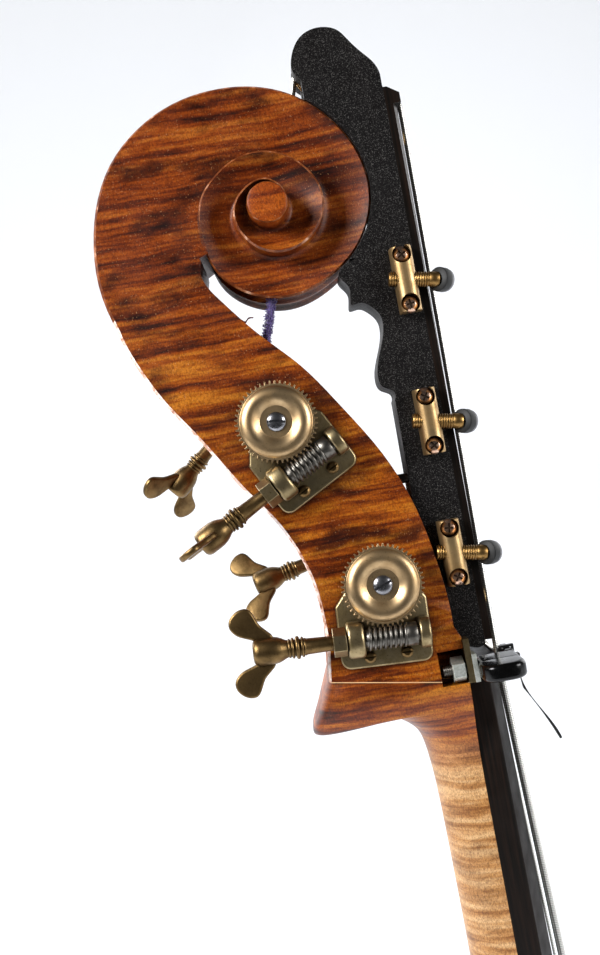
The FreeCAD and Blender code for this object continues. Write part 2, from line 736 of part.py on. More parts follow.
def make_scroll():
    low = joint_front - 10
    high = eye_z + 80
    width = [(-half_width(low), low), (half_width(low), low), (half_width(high), high), (-half_width(high), high)]
    body = side_prism(scroll_outline(0), -beyond, beyond)
    body = body.common(front_prism(straight_runs(width), -far_beyond, beyond))
    second = side_prism([[volute_points(second_turn, second_turn)[0]],
                         volute_points(second_turn + 1, third_turn)], -second_half_width, second_half_width)
    third = side_prism([[volute_points(third_turn, third_turn)[0]],
                        volute_points(third_turn + 1, len(turn_radii) - 1)], -third_half_width, third_half_width)
    eye = Part.makeCylinder(eye_radius, 2 * eye_half_width, FreeCAD.Vector(eye_x, -eye_half_width, eye_z),
                            FreeCAD.Vector(0, 1, 0))
    body = body.fuse([second, third, eye])
    hollow_width = [(-hollow_half(low), low), (hollow_half(low), low), (hollow_half(high), high),
                    (-hollow_half(high), high)]
    hollow = side_prism([[(-48, hollow_start + 9)], hollow_floor, hollow_top, hollow_mouth, [(20, 345)],
                         [(20, hollow_start)]], -beyond, beyond)
    body = body.cut(hollow.common(front_prism(straight_runs(hollow_width), -far_beyond, beyond)))
    for machine in machines:
        depth = roller_length(machine) + moving_gap
        bore = Part.makeCylinder(roller_radius + running_gap, depth + 10, FreeCAD.Vector(0, 0, -depth))
        body = body.cut(on_machine(bore, machine))
        for u, v in plate_screws:
            body = body.cut(on_machine(make_plate_screw(u, v), machine))
    return body.cut(gate_hollow()).cut(string_bore()).cut(make_prop())


def string_bore():
    circles = low_string_circles()
    angle = tangent_angle(circles[1], circles[2])
    x, z = polar(circles[1][:2], circles[1][2], angle)
    y = low_string["nut"][1]
    top = FreeCAD.Vector(x, y, z)
    exit_point = FreeCAD.Vector(circles[2][0], y, circles[2][1])
    return rod_between(top, exit_point + (exit_point - top) * 0.1, string_hole)


def save(name, shape):
    shape.exportStep("parts/" + name + ".step")


# ---- extension ----

def strip_section(z, crown):
    near = extension_near
    far = extension_far
    edge_points = [FreeCAD.Vector(strip_edge, near, z), FreeCAD.Vector(crown - 0.5, near + 8.5, z),
                   FreeCAD.Vector(crown, near + 16, z), FreeCAD.Vector(crown - strip_far_drop, far, z)]
    arc = Part.BSplineCurve()
    arc.interpolate(edge_points)
    return Part.Wire([
        Part.makeLine(FreeCAD.Vector(extension_front, near, z), edge_points[0]),
        arc.toShape(),
        Part.makeLine(edge_points[-1], FreeCAD.Vector(extension_front, far, z)),
        Part.makeLine(FreeCAD.Vector(extension_front, far, z), FreeCAD.Vector(extension_front, near, z)),
    ])


def make_strip():
    return Part.makeLoft([strip_section(strip_start, strip_start_crown), strip_section(strip_end, strip_end_crown)],
                         True, True)


def make_extension_nut():
    top = strip_end + block_length
    face = closed_face([[(block_height, strip_end)], [(block_height, strip_end + block_length - 4)],
                        [(extension_front + 2, top)], [(extension_front, top)], [(extension_front, strip_end)]],
                       side_view)
    face.translate(FreeCAD.Vector(0, extension_near, 0))
    block = face.extrude(FreeCAD.Vector(0, extension_far - extension_near, 0))
    return block.cut(make_string(low_string, low_string_circles(), nut_groove))


def a_string_channel():
    """Room for the string that passes behind the extension's foot."""
    machine = machines[1]
    nut_x, nut_y = a_string["nut"]
    circle = winding_circle(machine, moving_gap)
    angle = tangent_angle((nut_x, nut_seat, 0), circle)
    end_x, end_z = polar(circle[:2], circle[2], angle)
    reach = a_string["diameter"] / 2 + channel_gap
    across_x = reach * math.cos(angle)
    across_z = reach * math.sin(angle)
    corners = [(nut_x + across_x, nut_seat + across_z), (end_x + across_x, end_z + across_z),
               (end_x - across_x, end_z - across_z), (nut_x - across_x, nut_seat - across_z)]
    return side_prism(straight_runs(corners), nut_y - reach, extension_far + 1)


def pulley_slot():
    low = block_string[1] + block_length
    high = extension_top + beyond
    corners = [(-beyond, slot_floor), (-0.5, slot_floor), (extension_front - 4, low), (beyond, low), (beyond, high),
               (-beyond, high)]
    middle = low_string["nut"][1]
    return side_prism(straight_runs(corners), middle - slot_width / 2, middle + slot_width / 2)


def make_extension():
    inside = eye_x
    runs = [extension_foot, [extension_head[0]], extension_head[1:], extension_shelf[:1], extension_shelf[1:],
            [(inside, extension_shelf[-1][1])], [(inside, 400)], [extension_waist[0]], extension_waist[1:],
            [extension_straight], [(-20, 262)], [(-20, 205)], [(-2.9, 196.8)]]
    body = side_prism(runs, extension_near, extension_far)
    body = body.cut(side_prism(scroll_outline(fitting_gap), -beyond, beyond))
    body = body.cut(a_string_channel()).cut(pulley_slot()).cut(make_pin())
    body = body.cut(make_string(low_string, low_string_circles(), fitting_gap))
    pocket = box((-5, extension_near - 1, gate_plate_top - 30),
                 (gate_plate_thickness + fitting_gap, gate_plate_far + fitting_gap, gate_plate_top + fitting_gap))
    body = body.cut(pocket)
    for screw in capo_screws() + [make_fixing_screw(z) for z in fixing_screws]:
        body = body.cut(screw)
    return max(body.Solids, key=lambda solid: solid.Volume)


def make_pin():
    near = extension_near + 0.5
    return Part.makeCylinder(pin_radius, extension_far - near, FreeCAD.Vector(pulley_x, near, pulley_z),
                             FreeCAD.Vector(0, 1, 0))


def make_pulley():
    groove = pulley_string_radius - low_string["diameter"] / 2 - moving_gap
    half = pulley_width / 2
    flat = low_string["diameter"] / 2 + moving_gap
    edges = closed_face([[(pin_radius + running_gap, -half)], [(pulley_flange, -half)],
                         [(pulley_flange, -flat - 0.3)], [(groove + 0.6, -flat + 0.4), (groove, 0),
                         (groove + 0.6, flat - 0.4), (pulley_flange, flat + 0.3)],
                         [(pulley_flange, half)], [(pin_radius + running_gap, half)]], side_view)
    pulley = edges.revolve(FreeCAD.Vector(0, 0, 0), FreeCAD.Vector(0, 0, 1), 360)
    pulley.Placement = FreeCAD.Placement(FreeCAD.Vector(pulley_x, low_string["nut"][1], pulley_z),
                                         FreeCAD.Rotation(FreeCAD.Vector(0, 0, 1), FreeCAD.Vector(0, 1, 0)))
    return pulley


def make_prop():
    front = extension_straight[0]
    return Part.makeCylinder(prop_radius, 5 + prop_depth, FreeCAD.Vector(front - 5 - prop_depth, prop_y, prop_z),
                             FreeCAD.Vector(1, 0, 0))


def make_fixing_screw(z):
    """Countersunk screw through the strip into the body, under the low string."""
    crown = strip_start_crown + (strip_end_crown - strip_start_crown) * (z - strip_start) / (strip_end - strip_start)
    top = crown - fixing_screw_sink
    profile = [(0, -fixing_screw_length), (1.5, -fixing_screw_length + 2), (1.6, -3.2), (fixing_screw_radius, 0),
               (0, 0)]
    screw = turned(profile)
    slot = box((-fixing_screw_radius, -0.5, -0.9), (fixing_screw_radius, 0.5, 1))
    screw = screw.cut(slot)
    screw.Placement = FreeCAD.Placement(FreeCAD.Vector(top, low_string["nut"][1], z),
                                        FreeCAD.Rotation(FreeCAD.Vector(0, 0, 1), FreeCAD.Vector(1, 0, 0)))
    return screw


def fixing_screw_hole(z):
    screw = make_fixing_screw(z)
    top = screw.BoundBox.XMax
    return screw.fuse(Part.makeCylinder(fixing_screw_radius, 5, FreeCAD.Vector(top, low_string["nut"][1], z),
                                        FreeCAD.Vector(1, 0, 0)))


# ---- capos ----

def rod_direction():
    angle = math.radians(rod_tilt)
    return FreeCAD.Vector(math.cos(angle), 0, -math.sin(angle))


def rod_point(centre, along):
    x, z = centre
    middle = FreeCAD.Vector(x, extension_near - bracket_depth / 2, z)
    return middle + rod_direction() * along


def make_bracket(centre):
    x, z = centre
    near = extension_near - bracket_depth
    bracket = box((x - bracket_width / 2, near, z - bracket_height / 2),
                  (x + bracket_width / 2, extension_near, z + bracket_height / 2))
    upright = [edge for edge in bracket.Edges
               if edge.BoundBox.ZLength > bracket_height / 2 and edge.BoundBox.YMax < near + 0.1]
    bracket = bracket.makeFillet(bracket_round, upright)
    for offset in (-pocket_offset, pocket_offset):
        bracket = bracket.cut(Part.makeCylinder(pocket_radius, bracket_depth - pocket_floor,
                                                FreeCAD.Vector(x, near, z + offset), FreeCAD.Vector(0, 1, 0)))
        bracket = bracket.cut(Part.makeCylinder(bracket_screw_shank, bracket_depth,
                                                FreeCAD.Vector(x, near, z + offset), FreeCAD.Vector(0, 1, 0)))
    return bracket.cut(rod_between(rod_point(centre, -20), rod_point(centre, 20), rod_radius + running_gap))


def make_bracket_screw(x, z):
    screw = turned([(0, -bracket_screw_length), (bracket_screw_shank, -bracket_screw_length + 2),
                    (bracket_screw_shank, 0), (bracket_screw_head, 0), (bracket_screw_head, 0.7),
                    (bracket_screw_head * 0.7, bracket_screw_rise - 0.2), (0, bracket_screw_rise)])
    for turn in (0, 90):
        slot = box((-1.9, -0.45, bracket_screw_rise - 1.1), (1.9, 0.45, bracket_screw_rise + 1))
        slot.rotate(FreeCAD.Vector(0, 0, 0), FreeCAD.Vector(0, 0, 1), turn)
        screw = screw.cut(slot)
    screw.Placement = FreeCAD.Placement(FreeCAD.Vector(x, extension_near - pocket_floor, z),
                                        FreeCAD.Rotation(FreeCAD.Vector(0, 0, 1), FreeCAD.Vector(0, -1, 0)))
    return screw


def capo_screws():
    return [make_bracket_screw(x, z + offset) for x, z in capo_centres for offset in (-pocket_offset, pocket_offset)]


def make_rod(centre):
    return rod_between(rod_point(centre, -rod_back), rod_point(centre, rod_front), rod_radius)


def make_pad(centre):
    tip = rod_point(centre, rod_front)
    turn = math.radians(pad_turn)
    across = FreeCAD.Vector(0, 1, 0)
    axis = rod_direction() * math.cos(turn) + across * math.sin(turn)
    start = tip - axis * pad_overlap
    pad = rod_between(start, start + axis * pad_thickness, pad_radius)
    rims = [edge for edge in pad.Edges if edge.Curve.TypeId == "Part::GeomCircle"]
    return pad.makeFillet(pad_round, rims).cut(make_rod(centre))


# ---- gate at the nut ----

def gate_hollow():
    """Room in the bass side's front corner for the bolt and its nut."""
    return box((notch_back, -beyond, joint_front), (beyond, notch_far, notch_top))


def make_gate_plate():
    plate = box((0, gate_plate_near, joint_front), (gate_plate_thickness, gate_plate_far, gate_plate_top))
    return plate.cut(gate_stud_bore())


def gate_stud_bore():
    return gate_cylinder(stud_radius, stud_back, stud_front)


def gate_cylinder(radius, back, front):
    return Part.makeCylinder(radius, front - back, FreeCAD.Vector(back, gate_y, gate_z), FreeCAD.Vector(1, 0, 0))


def make_gate_washer():
    front = gate_plate_thickness + washer_thickness
    washer = box((gate_plate_thickness, gate_y - stud_nut_flats / 2, joint_front),
                 (front, extension_near - moving_gap, washer_top))
    return washer.cut(gate_stud_bore())


def make_gate_nut():
    nut = hex_prism(stud_nut_flats, FreeCAD.Vector(stud_nut_back, gate_y, gate_z), stud_nut_front - stud_nut_back,
                    FreeCAD.Vector(1, 0, 0))
    return nut.cut(gate_stud_bore())


def make_lever():
    back = gate_plate_thickness + washer_thickness + moving_gap
    low = gate_z - lever_thickness / 2
    high = gate_z + lever_thickness / 2
    handle = box((back - 1.5, lever_handle, low), (lever_front, gate_y - stud_nut_flats, high))
    upright = [edge for edge in handle.Edges if abs(edge.BoundBox.ZLength - lever_thickness) < 0.01]
    handle = handle.makeFillet(lever_round, upright)
    neck_piece = box((back, gate_y - stud_nut_flats - 3, low), (lever_front, gate_y, high))
    hub = gate_cylinder(lever_hub, back, lever_front)
    arm = box((lever_over_string, gate_y, low), (lever_front, lever_tip, high))
    lever = handle.fuse([neck_piece, hub, arm]).removeSplitter()
    return lever.cut(gate_cylinder(stud_radius + running_gap, back - 1, stud_front + moving_gap))


def make_tie():
    """Strap round the lever's arm, a square head in front of it and a long stiff tail."""
    low = gate_z - lever_thickness / 2
    high = gate_z + lever_thickness / 2
    outer = box((lever_over_string - tie_thickness, tie_near, low - tie_thickness),
                (lever_front + tie_thickness, tie_near + tie_width, high + tie_thickness))
    inner = box((lever_over_string, tie_near - 1, low), (lever_front, tie_near + tie_width + 1, high))
    head = box((lever_front + tie_thickness, tie_near - 1, low - tie_thickness),
               (lever_front + tie_thickness + tie_head / 2, tie_near + tie_width + 1, low + tie_head))
    root = (lever_front + tie_thickness, low)
    front = [(x, z) for x, z in tie_tail]
    back = [(x - tie_thickness * 0.9, z - tie_thickness * 0.4) for x, z in reversed(tie_tail)]
    tail = side_prism([[(root[0] + tie_thickness, root[1])], front, [back[0]], back[1:], [root]],
                      tie_near, tie_near + tie_width)
    return outer.cut(inner).fuse([head, tail]).removeSplitter()


# ---- the whole part ----

def main():
    os.makedirs("parts", exist_ok=True)
    scroll = make_scroll()
    save("scroll_and_pegbox", scroll)
    save("neck", make_neck())
    save("fingerboard", make_fingerboard())
    save("nut", make_nut())
    for name, (string, circles) in string_routes().items():
        save(name, make_string(string, circles))
    holes = Part.makeCompound([fixing_screw_hole(z) for z in fixing_screws])
    save("extension_body", make_extension())
    save("extension_fingerboard", make_strip().cut(holes))
    save("extension_nut", make_extension_nut())
    save("extension_screws", Part.makeCompound([make_fixing_screw(z) for z in fixing_screws]))
    save("extension_prop", make_prop())
    save("pulley_pin", make_pin())
    save("string_pulley", make_pulley())
    save("capo_brackets", Part.makeCompound([make_bracket(centre) for centre in capo_centres]))
    save("capo_bracket_screws", Part.makeCompound(capo_screws()))
    for number, centre in enumerate(capo_centres, 1):
        save("capo_rod_" + str(number), make_rod(centre))
        save("capo_pad_" + str(number), make_pad(centre))
    save("gate_plate", make_gate_plate())
    save("gate_washer", make_gate_washer())
    save("gate_bolt", gate_cylinder(stud_radius, stud_back, stud_front))
    save("gate_nut", make_gate_nut())
    save("gate_lever", make_lever())
    save("cable_tie", make_tie())
    plate = make_plate()
    gear = make_gear()
    gear_screw = make_gear_screw()
    worm = along_worm(make_worm())
    for number, machine in enumerate(machines, 1):
        ending = "_" + str(number)
        save("machine_plate" + ending, on_machine(plate, machine))
        save("gear_wheel" + ending, on_machine(gear, machine))
        save("gear_screw" + ending, on_machine(gear_screw, machine))
        save("roller" + ending, on_machine(make_roller(machine), machine))
        save("winding" + ending, on_machine(make_winding(machine), machine))
        save("worm" + ending, on_machine(worm, machine))
        save("key" + ending, on_machine(make_key(machine["key_roll"]), machine))
    nuts = [on_machine(make_lock_nut(), machine) for machine in machines]
    save("worm_lock_nuts", Part.makeCompound(nuts))
    screws = [on_machine(make_plate_screw(u, v), machine) for machine in machines for u, v in plate_screws]
    save("machine_plate_screws", Part.makeCompound(screws))


main()
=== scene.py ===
import bpy
import bmesh
import json
import math
from functools import partial
from mathutils import Matrix, Vector


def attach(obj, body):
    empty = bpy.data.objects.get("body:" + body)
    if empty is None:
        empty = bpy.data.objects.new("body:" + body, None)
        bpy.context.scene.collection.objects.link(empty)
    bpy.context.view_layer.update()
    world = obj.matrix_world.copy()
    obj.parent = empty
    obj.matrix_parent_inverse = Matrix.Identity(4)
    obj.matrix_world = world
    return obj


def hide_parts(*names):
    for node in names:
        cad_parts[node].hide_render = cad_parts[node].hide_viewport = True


# Head of a double bass with a low-C extension.
# Sizes and places in the dictionaries are millimetres in the frame's axes; meshes are metres.
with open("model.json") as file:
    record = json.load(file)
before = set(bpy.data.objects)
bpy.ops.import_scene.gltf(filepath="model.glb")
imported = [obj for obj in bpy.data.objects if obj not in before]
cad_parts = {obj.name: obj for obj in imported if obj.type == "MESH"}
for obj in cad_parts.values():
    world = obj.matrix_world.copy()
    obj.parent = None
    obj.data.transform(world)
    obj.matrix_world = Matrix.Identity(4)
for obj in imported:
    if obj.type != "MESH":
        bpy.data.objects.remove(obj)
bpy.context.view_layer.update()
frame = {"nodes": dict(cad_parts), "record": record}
mm = 0.001
print("frame loaded")


# small helpers

# sRGB hex to linear
def hexColour(code):
    channels = [int(code[i:i + 2], 16) / 255 for i in (1, 3, 5)]
    linear = [c / 12.92 if c <= 0.04045 else ((c + 0.055) / 1.055) ** 2.4 for c in channels]
    return (*linear, 1)


# sets a node's inputs; a linked node gives its first output in use
def plug(node, links):
    for socket, value in links.items():
        if isinstance(value, bpy.types.Node):
            value = next(output for output in value.outputs if output.enabled)
        if isinstance(value, bpy.types.NodeSocket):
            node.id_data.links.new(value, node.inputs[socket])
        else:
            node.inputs[socket].default_value = hexColour(value) if isinstance(value, str) else value


# adds a node with its settings, colour stops and links; the tree's own kinds go without their prefix
def addNode(tree, kind, links=None, stops=None, **settings):
    node = tree.nodes.new(kind if "Node" in kind else tree.bl_idname.replace("Tree", kind))
    for name, value in settings.items():
        setattr(node, name, value)
    if stops:
        elements = node.color_ramp.elements
        while len(elements) < len(stops):
            elements.new(0.5)
        for element, (position, tone) in zip(elements, stops):
            element.position = position
            element.color = hexColour(tone)
    plug(node, links or {})
    return node


def startMaterial(name, constants):
    material = bpy.data.materials.new(name)
    material.use_nodes = True
    shader = material.node_tree.nodes["Principled BSDF"]
    plug(shader, constants)
    add = partial(addNode, material.node_tree)
    return add, shader, add("TexCoord").outputs["Object"]


# each finish ends in its colour, its fine relief and, if it is patchy, its gloss
def endMaterial(add, shader, colour, height, relief, gloss=None):
    plug(shader, {"Base Color": colour, "Normal": add("Bump", {"Height": height, "Distance": relief * mm})})
    if gloss:
        pattern, dullAt, rough, spread = gloss
        dull = add("MapRange", {0: pattern, 1: 0.3, 2: dullAt, 3: rough, 4: rough + spread})
        plug(shader, {"Roughness": dull})


# finishes

# spirit-varnished flamed maple: light and dark stripes across the grain, dark varnish on the scroll,
# bare golden wood down the neck, dirt and painted shade in the corners, and dust specks
def flamedMaple(name, look):
    add, shader, place = startMaterial(name, {"IOR": 1.5, "Specular IOR Level": look["shine"]})
    split = add("SeparateXYZ", {0: place}).outputs
    cloud, bend, worn, specks = (
        add("TexNoise", {"Vector": place, "Scale": scale, "Detail": detail, "Roughness": roughness})
        for scale, detail, roughness in ((22, 4, 0.6), (28, 2, 0.5), (60, 5, 0.7), (1100, 2, 0.8)))
    lift = add("CombineXYZ", {"Z": bend})
    bent = add("VectorMath", {0: lift, 1: (0, 0, look["bend"] * mm), 2: place}, operation="MULTIPLY_ADD")
    # stripes some 3 mm high that run right across, shorter flickers between, pores, and smoky patches
    stripe = 1 / (look["stripe"] * mm)
    stretched = []
    for vector, stretch, scale, roughness in (
            (bent, (0.05, 0.05, 1), stripe, 0.5), (bent, (0.14, 0.14, 1), stripe / 0.55, 0.6),
            (place, (1, 1, 0.6), 1200, 0.9), (bent, (0.45, 0.45, 1), 75, 0.55)):
        noise = {"Vector": add("Mapping", {"Vector": vector, "Scale": stretch}), "Scale": scale, "Detail": 3}
        stretched.append(add("TexNoise", dict(noise, Roughness=roughness)))
    stripes, flickers, pores, smoke = stretched
    flame = add("Mix", {0: 0.3, 2: stripes, 3: flickers})
    # darker, plainer varnish from the upper pegbox on
    level = add("Math", {0: cloud, 1: 0.07, 2: split["Z"]}, operation="MULTIPLY_ADD")
    upper = add("MapRange", {0: level, 1: 0.350, 2: 0.445, 3: 0.0, 4: look["upper"]})
    # the varnish ends where the hand runs up the neck
    edge = add("Math", {0: cloud, 1: 0.024, 2: split["Z"]}, operation="MULTIPLY_ADD")
    bare = add("MapRange", {0: edge, 1: 0.160, 2: 0.136})
    # painted shade together with dirt: darker in corners, creases, the notch and at the foot of each turn
    dirtAndShade = add("AmbientOcclusion", {"Distance": 7 * mm}, samples=8).outputs["AO"]
    # a darker patch in front of the eye
    off = add("VectorMath", {0: bent, 1: (42, 0, 110), 2: (1.092, 0, -48.62)}, operation="MULTIPLY_ADD")
    far = add("VectorMath", {0: off}, operation="LENGTH")
    near = add("MapRange", {0: far, 1: 0.35, 2: 1.2, 3: 0.85, 4: 0.0})
    dust = add("MapRange", {0: specks, 1: 0.64, 2: 0.74, 3: 0.0, 4: look["dust"]})
    # pale glue line where the pegbox is grafted on to the neck
    slope = add("Math", {0: split["X"], 1: look["jointSlope"], 2: split["Z"]}, operation="MULTIPLY_ADD")
    glue = add("Math", {0: slope, 1: look["jointHeight"] * mm, 2: 0.28 * mm}, operation="COMPARE")
    # how much, which tone and how it is laid over what is there
    layers = [
        (upper, add("ValToRGB", {0: flame}, look["scrollTones"]), "MIX"),
        (bare, add("ValToRGB", {0: flame}, look["bareTones"]), "MIX"),
        (0.65, add("ValToRGB", {0: pores}, [(0.38, "#6c4c3a"), (0.58, "#ffffff")]), "MULTIPLY"),
        (look["dirtAndShade"], add("ValToRGB", {0: dirtAndShade}, [(0.40, "#3c2416"), (0.88, "#ffffff")]), "MULTIPLY"),
        (look["smoke"], add("ValToRGB", {0: smoke}, [(0.50, "#ffffff"), (0.66, "#563420")]), "MULTIPLY"),
        (near, "#5c3826", "MULTIPLY"), (dust, "#d8a070", "MIX"), (glue, "#e2b98a", "MIX"),
    ]
    colour = add("ValToRGB", {0: flame}, look["flames"])
    for amount, tone, blend in layers:
        colour = add("Mix", {0: amount, 6: colour, 7: tone}, data_type="RGBA", blend_type=blend)
    relief = add("Math", {0: cloud, 1: 5.0, 2: pores}, operation="MULTIPLY_ADD")
    endMaterial(add, shader, colour, relief, 0.05, (worn, 0.7, look["gloss"], 0.16))


# in these looks the corners are darkened by dirt and by painted shade
pegboxLook = {
    "shine": 0.22, "gloss": 0.34, "bend": 4, "stripe": 3.3, "upper": 0.85, "dirtAndShade": 0.8, "dust": 0.5,
    "smoke": 0.85, "jointSlope": 0.1812, "jointHeight": 176.15,
    "flames": [(0.34, "#381402"), (0.43, "#702d05"), (0.52, "#a0500c"), (0.64, "#c67a20")],
    "scrollTones": [(0.34, "#30110a"), (0.44, "#632508"), (0.54, "#86390d"), (0.66, "#a75a1e")],
    "bareTones": [(0.36, "#8e5a2a"), (0.47, "#b8844c"), (0.62, "#d6ac78")],
}
neckLook = dict(pegboxLook, shine=0.35, gloss=0.30, dust=0.15, dirtAndShade=0.6, smoke=0.3)
eyeLook = dict(pegboxLook, upper=0.25, smoke=0.5,
               flames=[(0.34, "#4a1a04"), (0.46, "#84350a"), (0.62, "#ac520e")])


# ebony: near black, with faint brown streaks along the grain and a dull sheen
def ebonyWood(name, tones, rough, dusty):
    add, shader, place = startMaterial(name, {"IOR": 1.45, "Specular IOR Level": 0.15})
    long = add("Mapping", {"Vector": place, "Scale": (1, 1, 0.03)})
    streaks = add("TexNoise", {"Vector": long, "Scale": 700, "Detail": 4, "Roughness": 0.65})
    specks = add("TexNoise", {"Vector": place, "Scale": 1900, "Detail": 2, "Roughness": 0.9})
    dust = add("MapRange", {0: specks, 1: 0.57, 2: 0.70, 3: 0.0, 4: dusty})
    colour = add("Mix", {0: dust, 6: add("ValToRGB", {0: streaks}, tones), 7: "#7c7976"}, data_type="RGBA")
    rubbed = add("TexNoise", {"Vector": place, "Scale": 70, "Detail": 3})
    endMaterial(add, shader, colour, streaks, 0.05, (rubbed, 0.7, rough, 0.2))


# turned or cast brass: warm metal with dull patches, browner in the corners from dirt and painted shade, and
# small dark pits
def brass(name, tones, dirtAndShade, rough, pits, relief):
    add, shader, place = startMaterial(name, {"Metallic": 1.0})
    patches = add("TexNoise", {"Vector": place, "Scale": 120, "Detail": 5, "Roughness": 0.6})
    holes = add("TexNoise", {"Vector": place, "Scale": 1000, "Detail": 2, "Roughness": 0.7})
    pitted = add("MapRange", {0: holes, 1: 0.62, 2: 0.70, 3: 0.0, 4: pits})
    # painted shade with dirt: the dark tone gathers in the corners
    corners = add("AmbientOcclusion", {"Distance": 3.5 * mm}, samples=8).outputs["AO"]
    grimeAndShade = add("MapRange", {0: corners, 1: 0.75, 2: 0.35, 3: 0.0, 4: 0.85})
    colour = add("ValToRGB", {0: patches}, tones)
    for amount in (pitted, grimeAndShade):
        colour = add("Mix", {0: amount, 6: colour, 7: dirtAndShade}, data_type="RGBA")
    height = add("Math", {0: patches, 1: 2.0, 2: holes}, operation="MULTIPLY_ADD")
    endMaterial(add, shader, colour, height, relief, (patches, 0.7, rough, 0.15))


# flat steel ribbon wound round a core: fine ridges across the string
def woundString(name, tones, ribbon):
    add, shader, place = startMaterial(name, {"Metallic": 1.0, "Roughness": 0.3})
    # one turn of a real ribbon is 0.3 mm; drawn wider so that it shows
    wave = add("TexWave", {"Vector": place, "Scale": math.pi / 10 / (ribbon * mm)}, bands_direction="Z")
    ridges = wave.outputs["Fac"]
    endMaterial(add, shader, add("ValToRGB", {0: ridges}, tones), ridges, 0.06)


# plain stuff: one fine pattern gives its colour, its relief and, above rough, its dull patches
def mottled(name, look, tones, rough=None):
    add, shader, place = startMaterial(name, look["constants"])
    pattern = add("TexNoise", {"Vector": place, "Scale": look["scale"], "Detail": look["detail"],
                               "Roughness": look["roughness"]})
    gloss = rough and (pattern, look["dullAt"], rough, look["dull"])
    endMaterial(add, shader, add("ValToRGB", {0: pattern}, tones), pattern, look["relief"], gloss)


# edge where handling has taken the varnish off: pale pinkish wood, brown where some is left
bareEdge = {"constants": {"IOR": 1.5, "Roughness": 0.3, "Specular IOR Level": 0.4}, "scale": 170, "detail": 6,
            "roughness": 0.7, "relief": 0.3}
# machined steel: grey metal with darker oily patches
steel = {"constants": {"Metallic": 1.0}, "scale": 160, "detail": 5, "roughness": 0.65, "relief": 0.03,
         "dullAt": 0.7, "dull": 0.15}
# silk wrapped round the string's end: soft and matt, each fibre a little lighter or darker
silk = {"constants": {"Roughness": 0.85, "Sheen Weight": 0.5}, "scale": 1400, "detail": 3, "roughness": 0.7,
        "relief": 0.2}
# rubber or plastic with fine handling marks
moulded = {"constants": {"IOR": 1.5, "Specular IOR Level": 0.4}, "scale": 330, "detail": 5, "roughness": 0.65,
           "relief": 0.02, "dullAt": 0.75, "dull": 0.12}
polished = dict(moulded, constants={"IOR": 1.5, "Specular IOR Level": 0.3})

# the pegbox's back edges: bare worn wood, and in the palest tone a painted highlight
mottled("wornVarnishEdge", bareEdge, [(0.36, "#8a4a2c"), (0.44, "#d8a890"), (0.58, "#fff0ea")])
mottled("rubbedVarnishEdge", bareEdge, [(0.42, "#5e2a10"), (0.56, "#94542c"), (0.68, "#dcae92")])
flamedMaple("varnishedMaple", pegboxLook)
flamedMaple("orangeVarnishedMaple", eyeLook)
flamedMaple("neckMaple", neckLook)
ebonyWood("oiledEbony", [(0.40, "#0b0806"), (0.74, "#1f140e")], 0.34, 0.0)
ebonyWood("stainedExtensionWood", [(0.40, "#060505"), (0.74, "#121010")], 0.45, 0.6)
brass("brightBrass", [(0.35, "#dcbc88"), (0.66, "#bc9862")], "#4a3014", 0.24, 0.4, 0.03)
brass("satinGearBrass", [(0.35, "#c8ab82"), (0.66, "#ac8f68")], "#574024", 0.32, 0.45, 0.02)
brass("agedPlateBrass", [(0.33, "#ac9a76"), (0.66, "#7c6c4c")], "#241a0e", 0.30, 0.5, 0.05)
brass("castKeyBronze", [(0.33, "#866c46"), (0.66, "#544228")], "#181006", 0.32, 0.5, 0.06)
brass("crossHeadScrewBrass", [(0.35, "#f0cdb4"), (0.66, "#d4a88c")], "#3a2412", 0.2, 0.2, 0.02)
brass("brushedBracketBrass", [(0.35, "#c4a678"), (0.66, "#a08258")], "#4a3014", 0.38, 0.4, 0.03)
brass("threadedRodBrass", [(0.35, "#a88450"), (0.66, "#7c5e34")], "#2c1c0c", 0.3, 0.2, 0.02)
mottled("oiledWormSteel", steel, [(0.35, "#7e7a74"), (0.65, "#4c4842")], 0.3)
mottled("polishedScrewSteel", dict(steel, scale=170), [(0.35, "#a8a8ac"), (0.65, "#77777c")], 0.2)
mottled("zincPlatedSteel", dict(steel, scale=330), [(0.35, "#f0f2ec"), (0.65, "#c0c4ba")], 0.46)
woundString("ribbonWoundString", [(0.1, "#8d8c88"), (0.6, "#e4e2dc")], 0.9)
mottled("purpleSilk", silk, [(0.35, "#35255e"), (0.68, "#7c66b0")])
mottled("redSilk", silk, [(0.35, "#781820"), (0.68, "#c04040")])
mottled("blackRubber", moulded, [(0.5, "#0d0d0d"), (0.75, "#262626")], 0.5)
mottled("greyRubber", moulded, [(0.4, "#6c6c70"), (0.7, "#96969a")], 0.45)
mottled("polishedBlackLever", polished, [(0.5, "#050505"), (0.75, "#0c0c0c")], 0.14)
mottled("blackNylon", moulded, [(0.5, "#0e0e0e"), (0.75, "#1e1e1e")], 0.38)
finishes = bpy.data.materials
print("finishes made")


# turns a table of settings and the nodes that have them the other way round
def byNode(table):
    return {node: setting for setting, nodes in table.items() for node in nodes.split()}


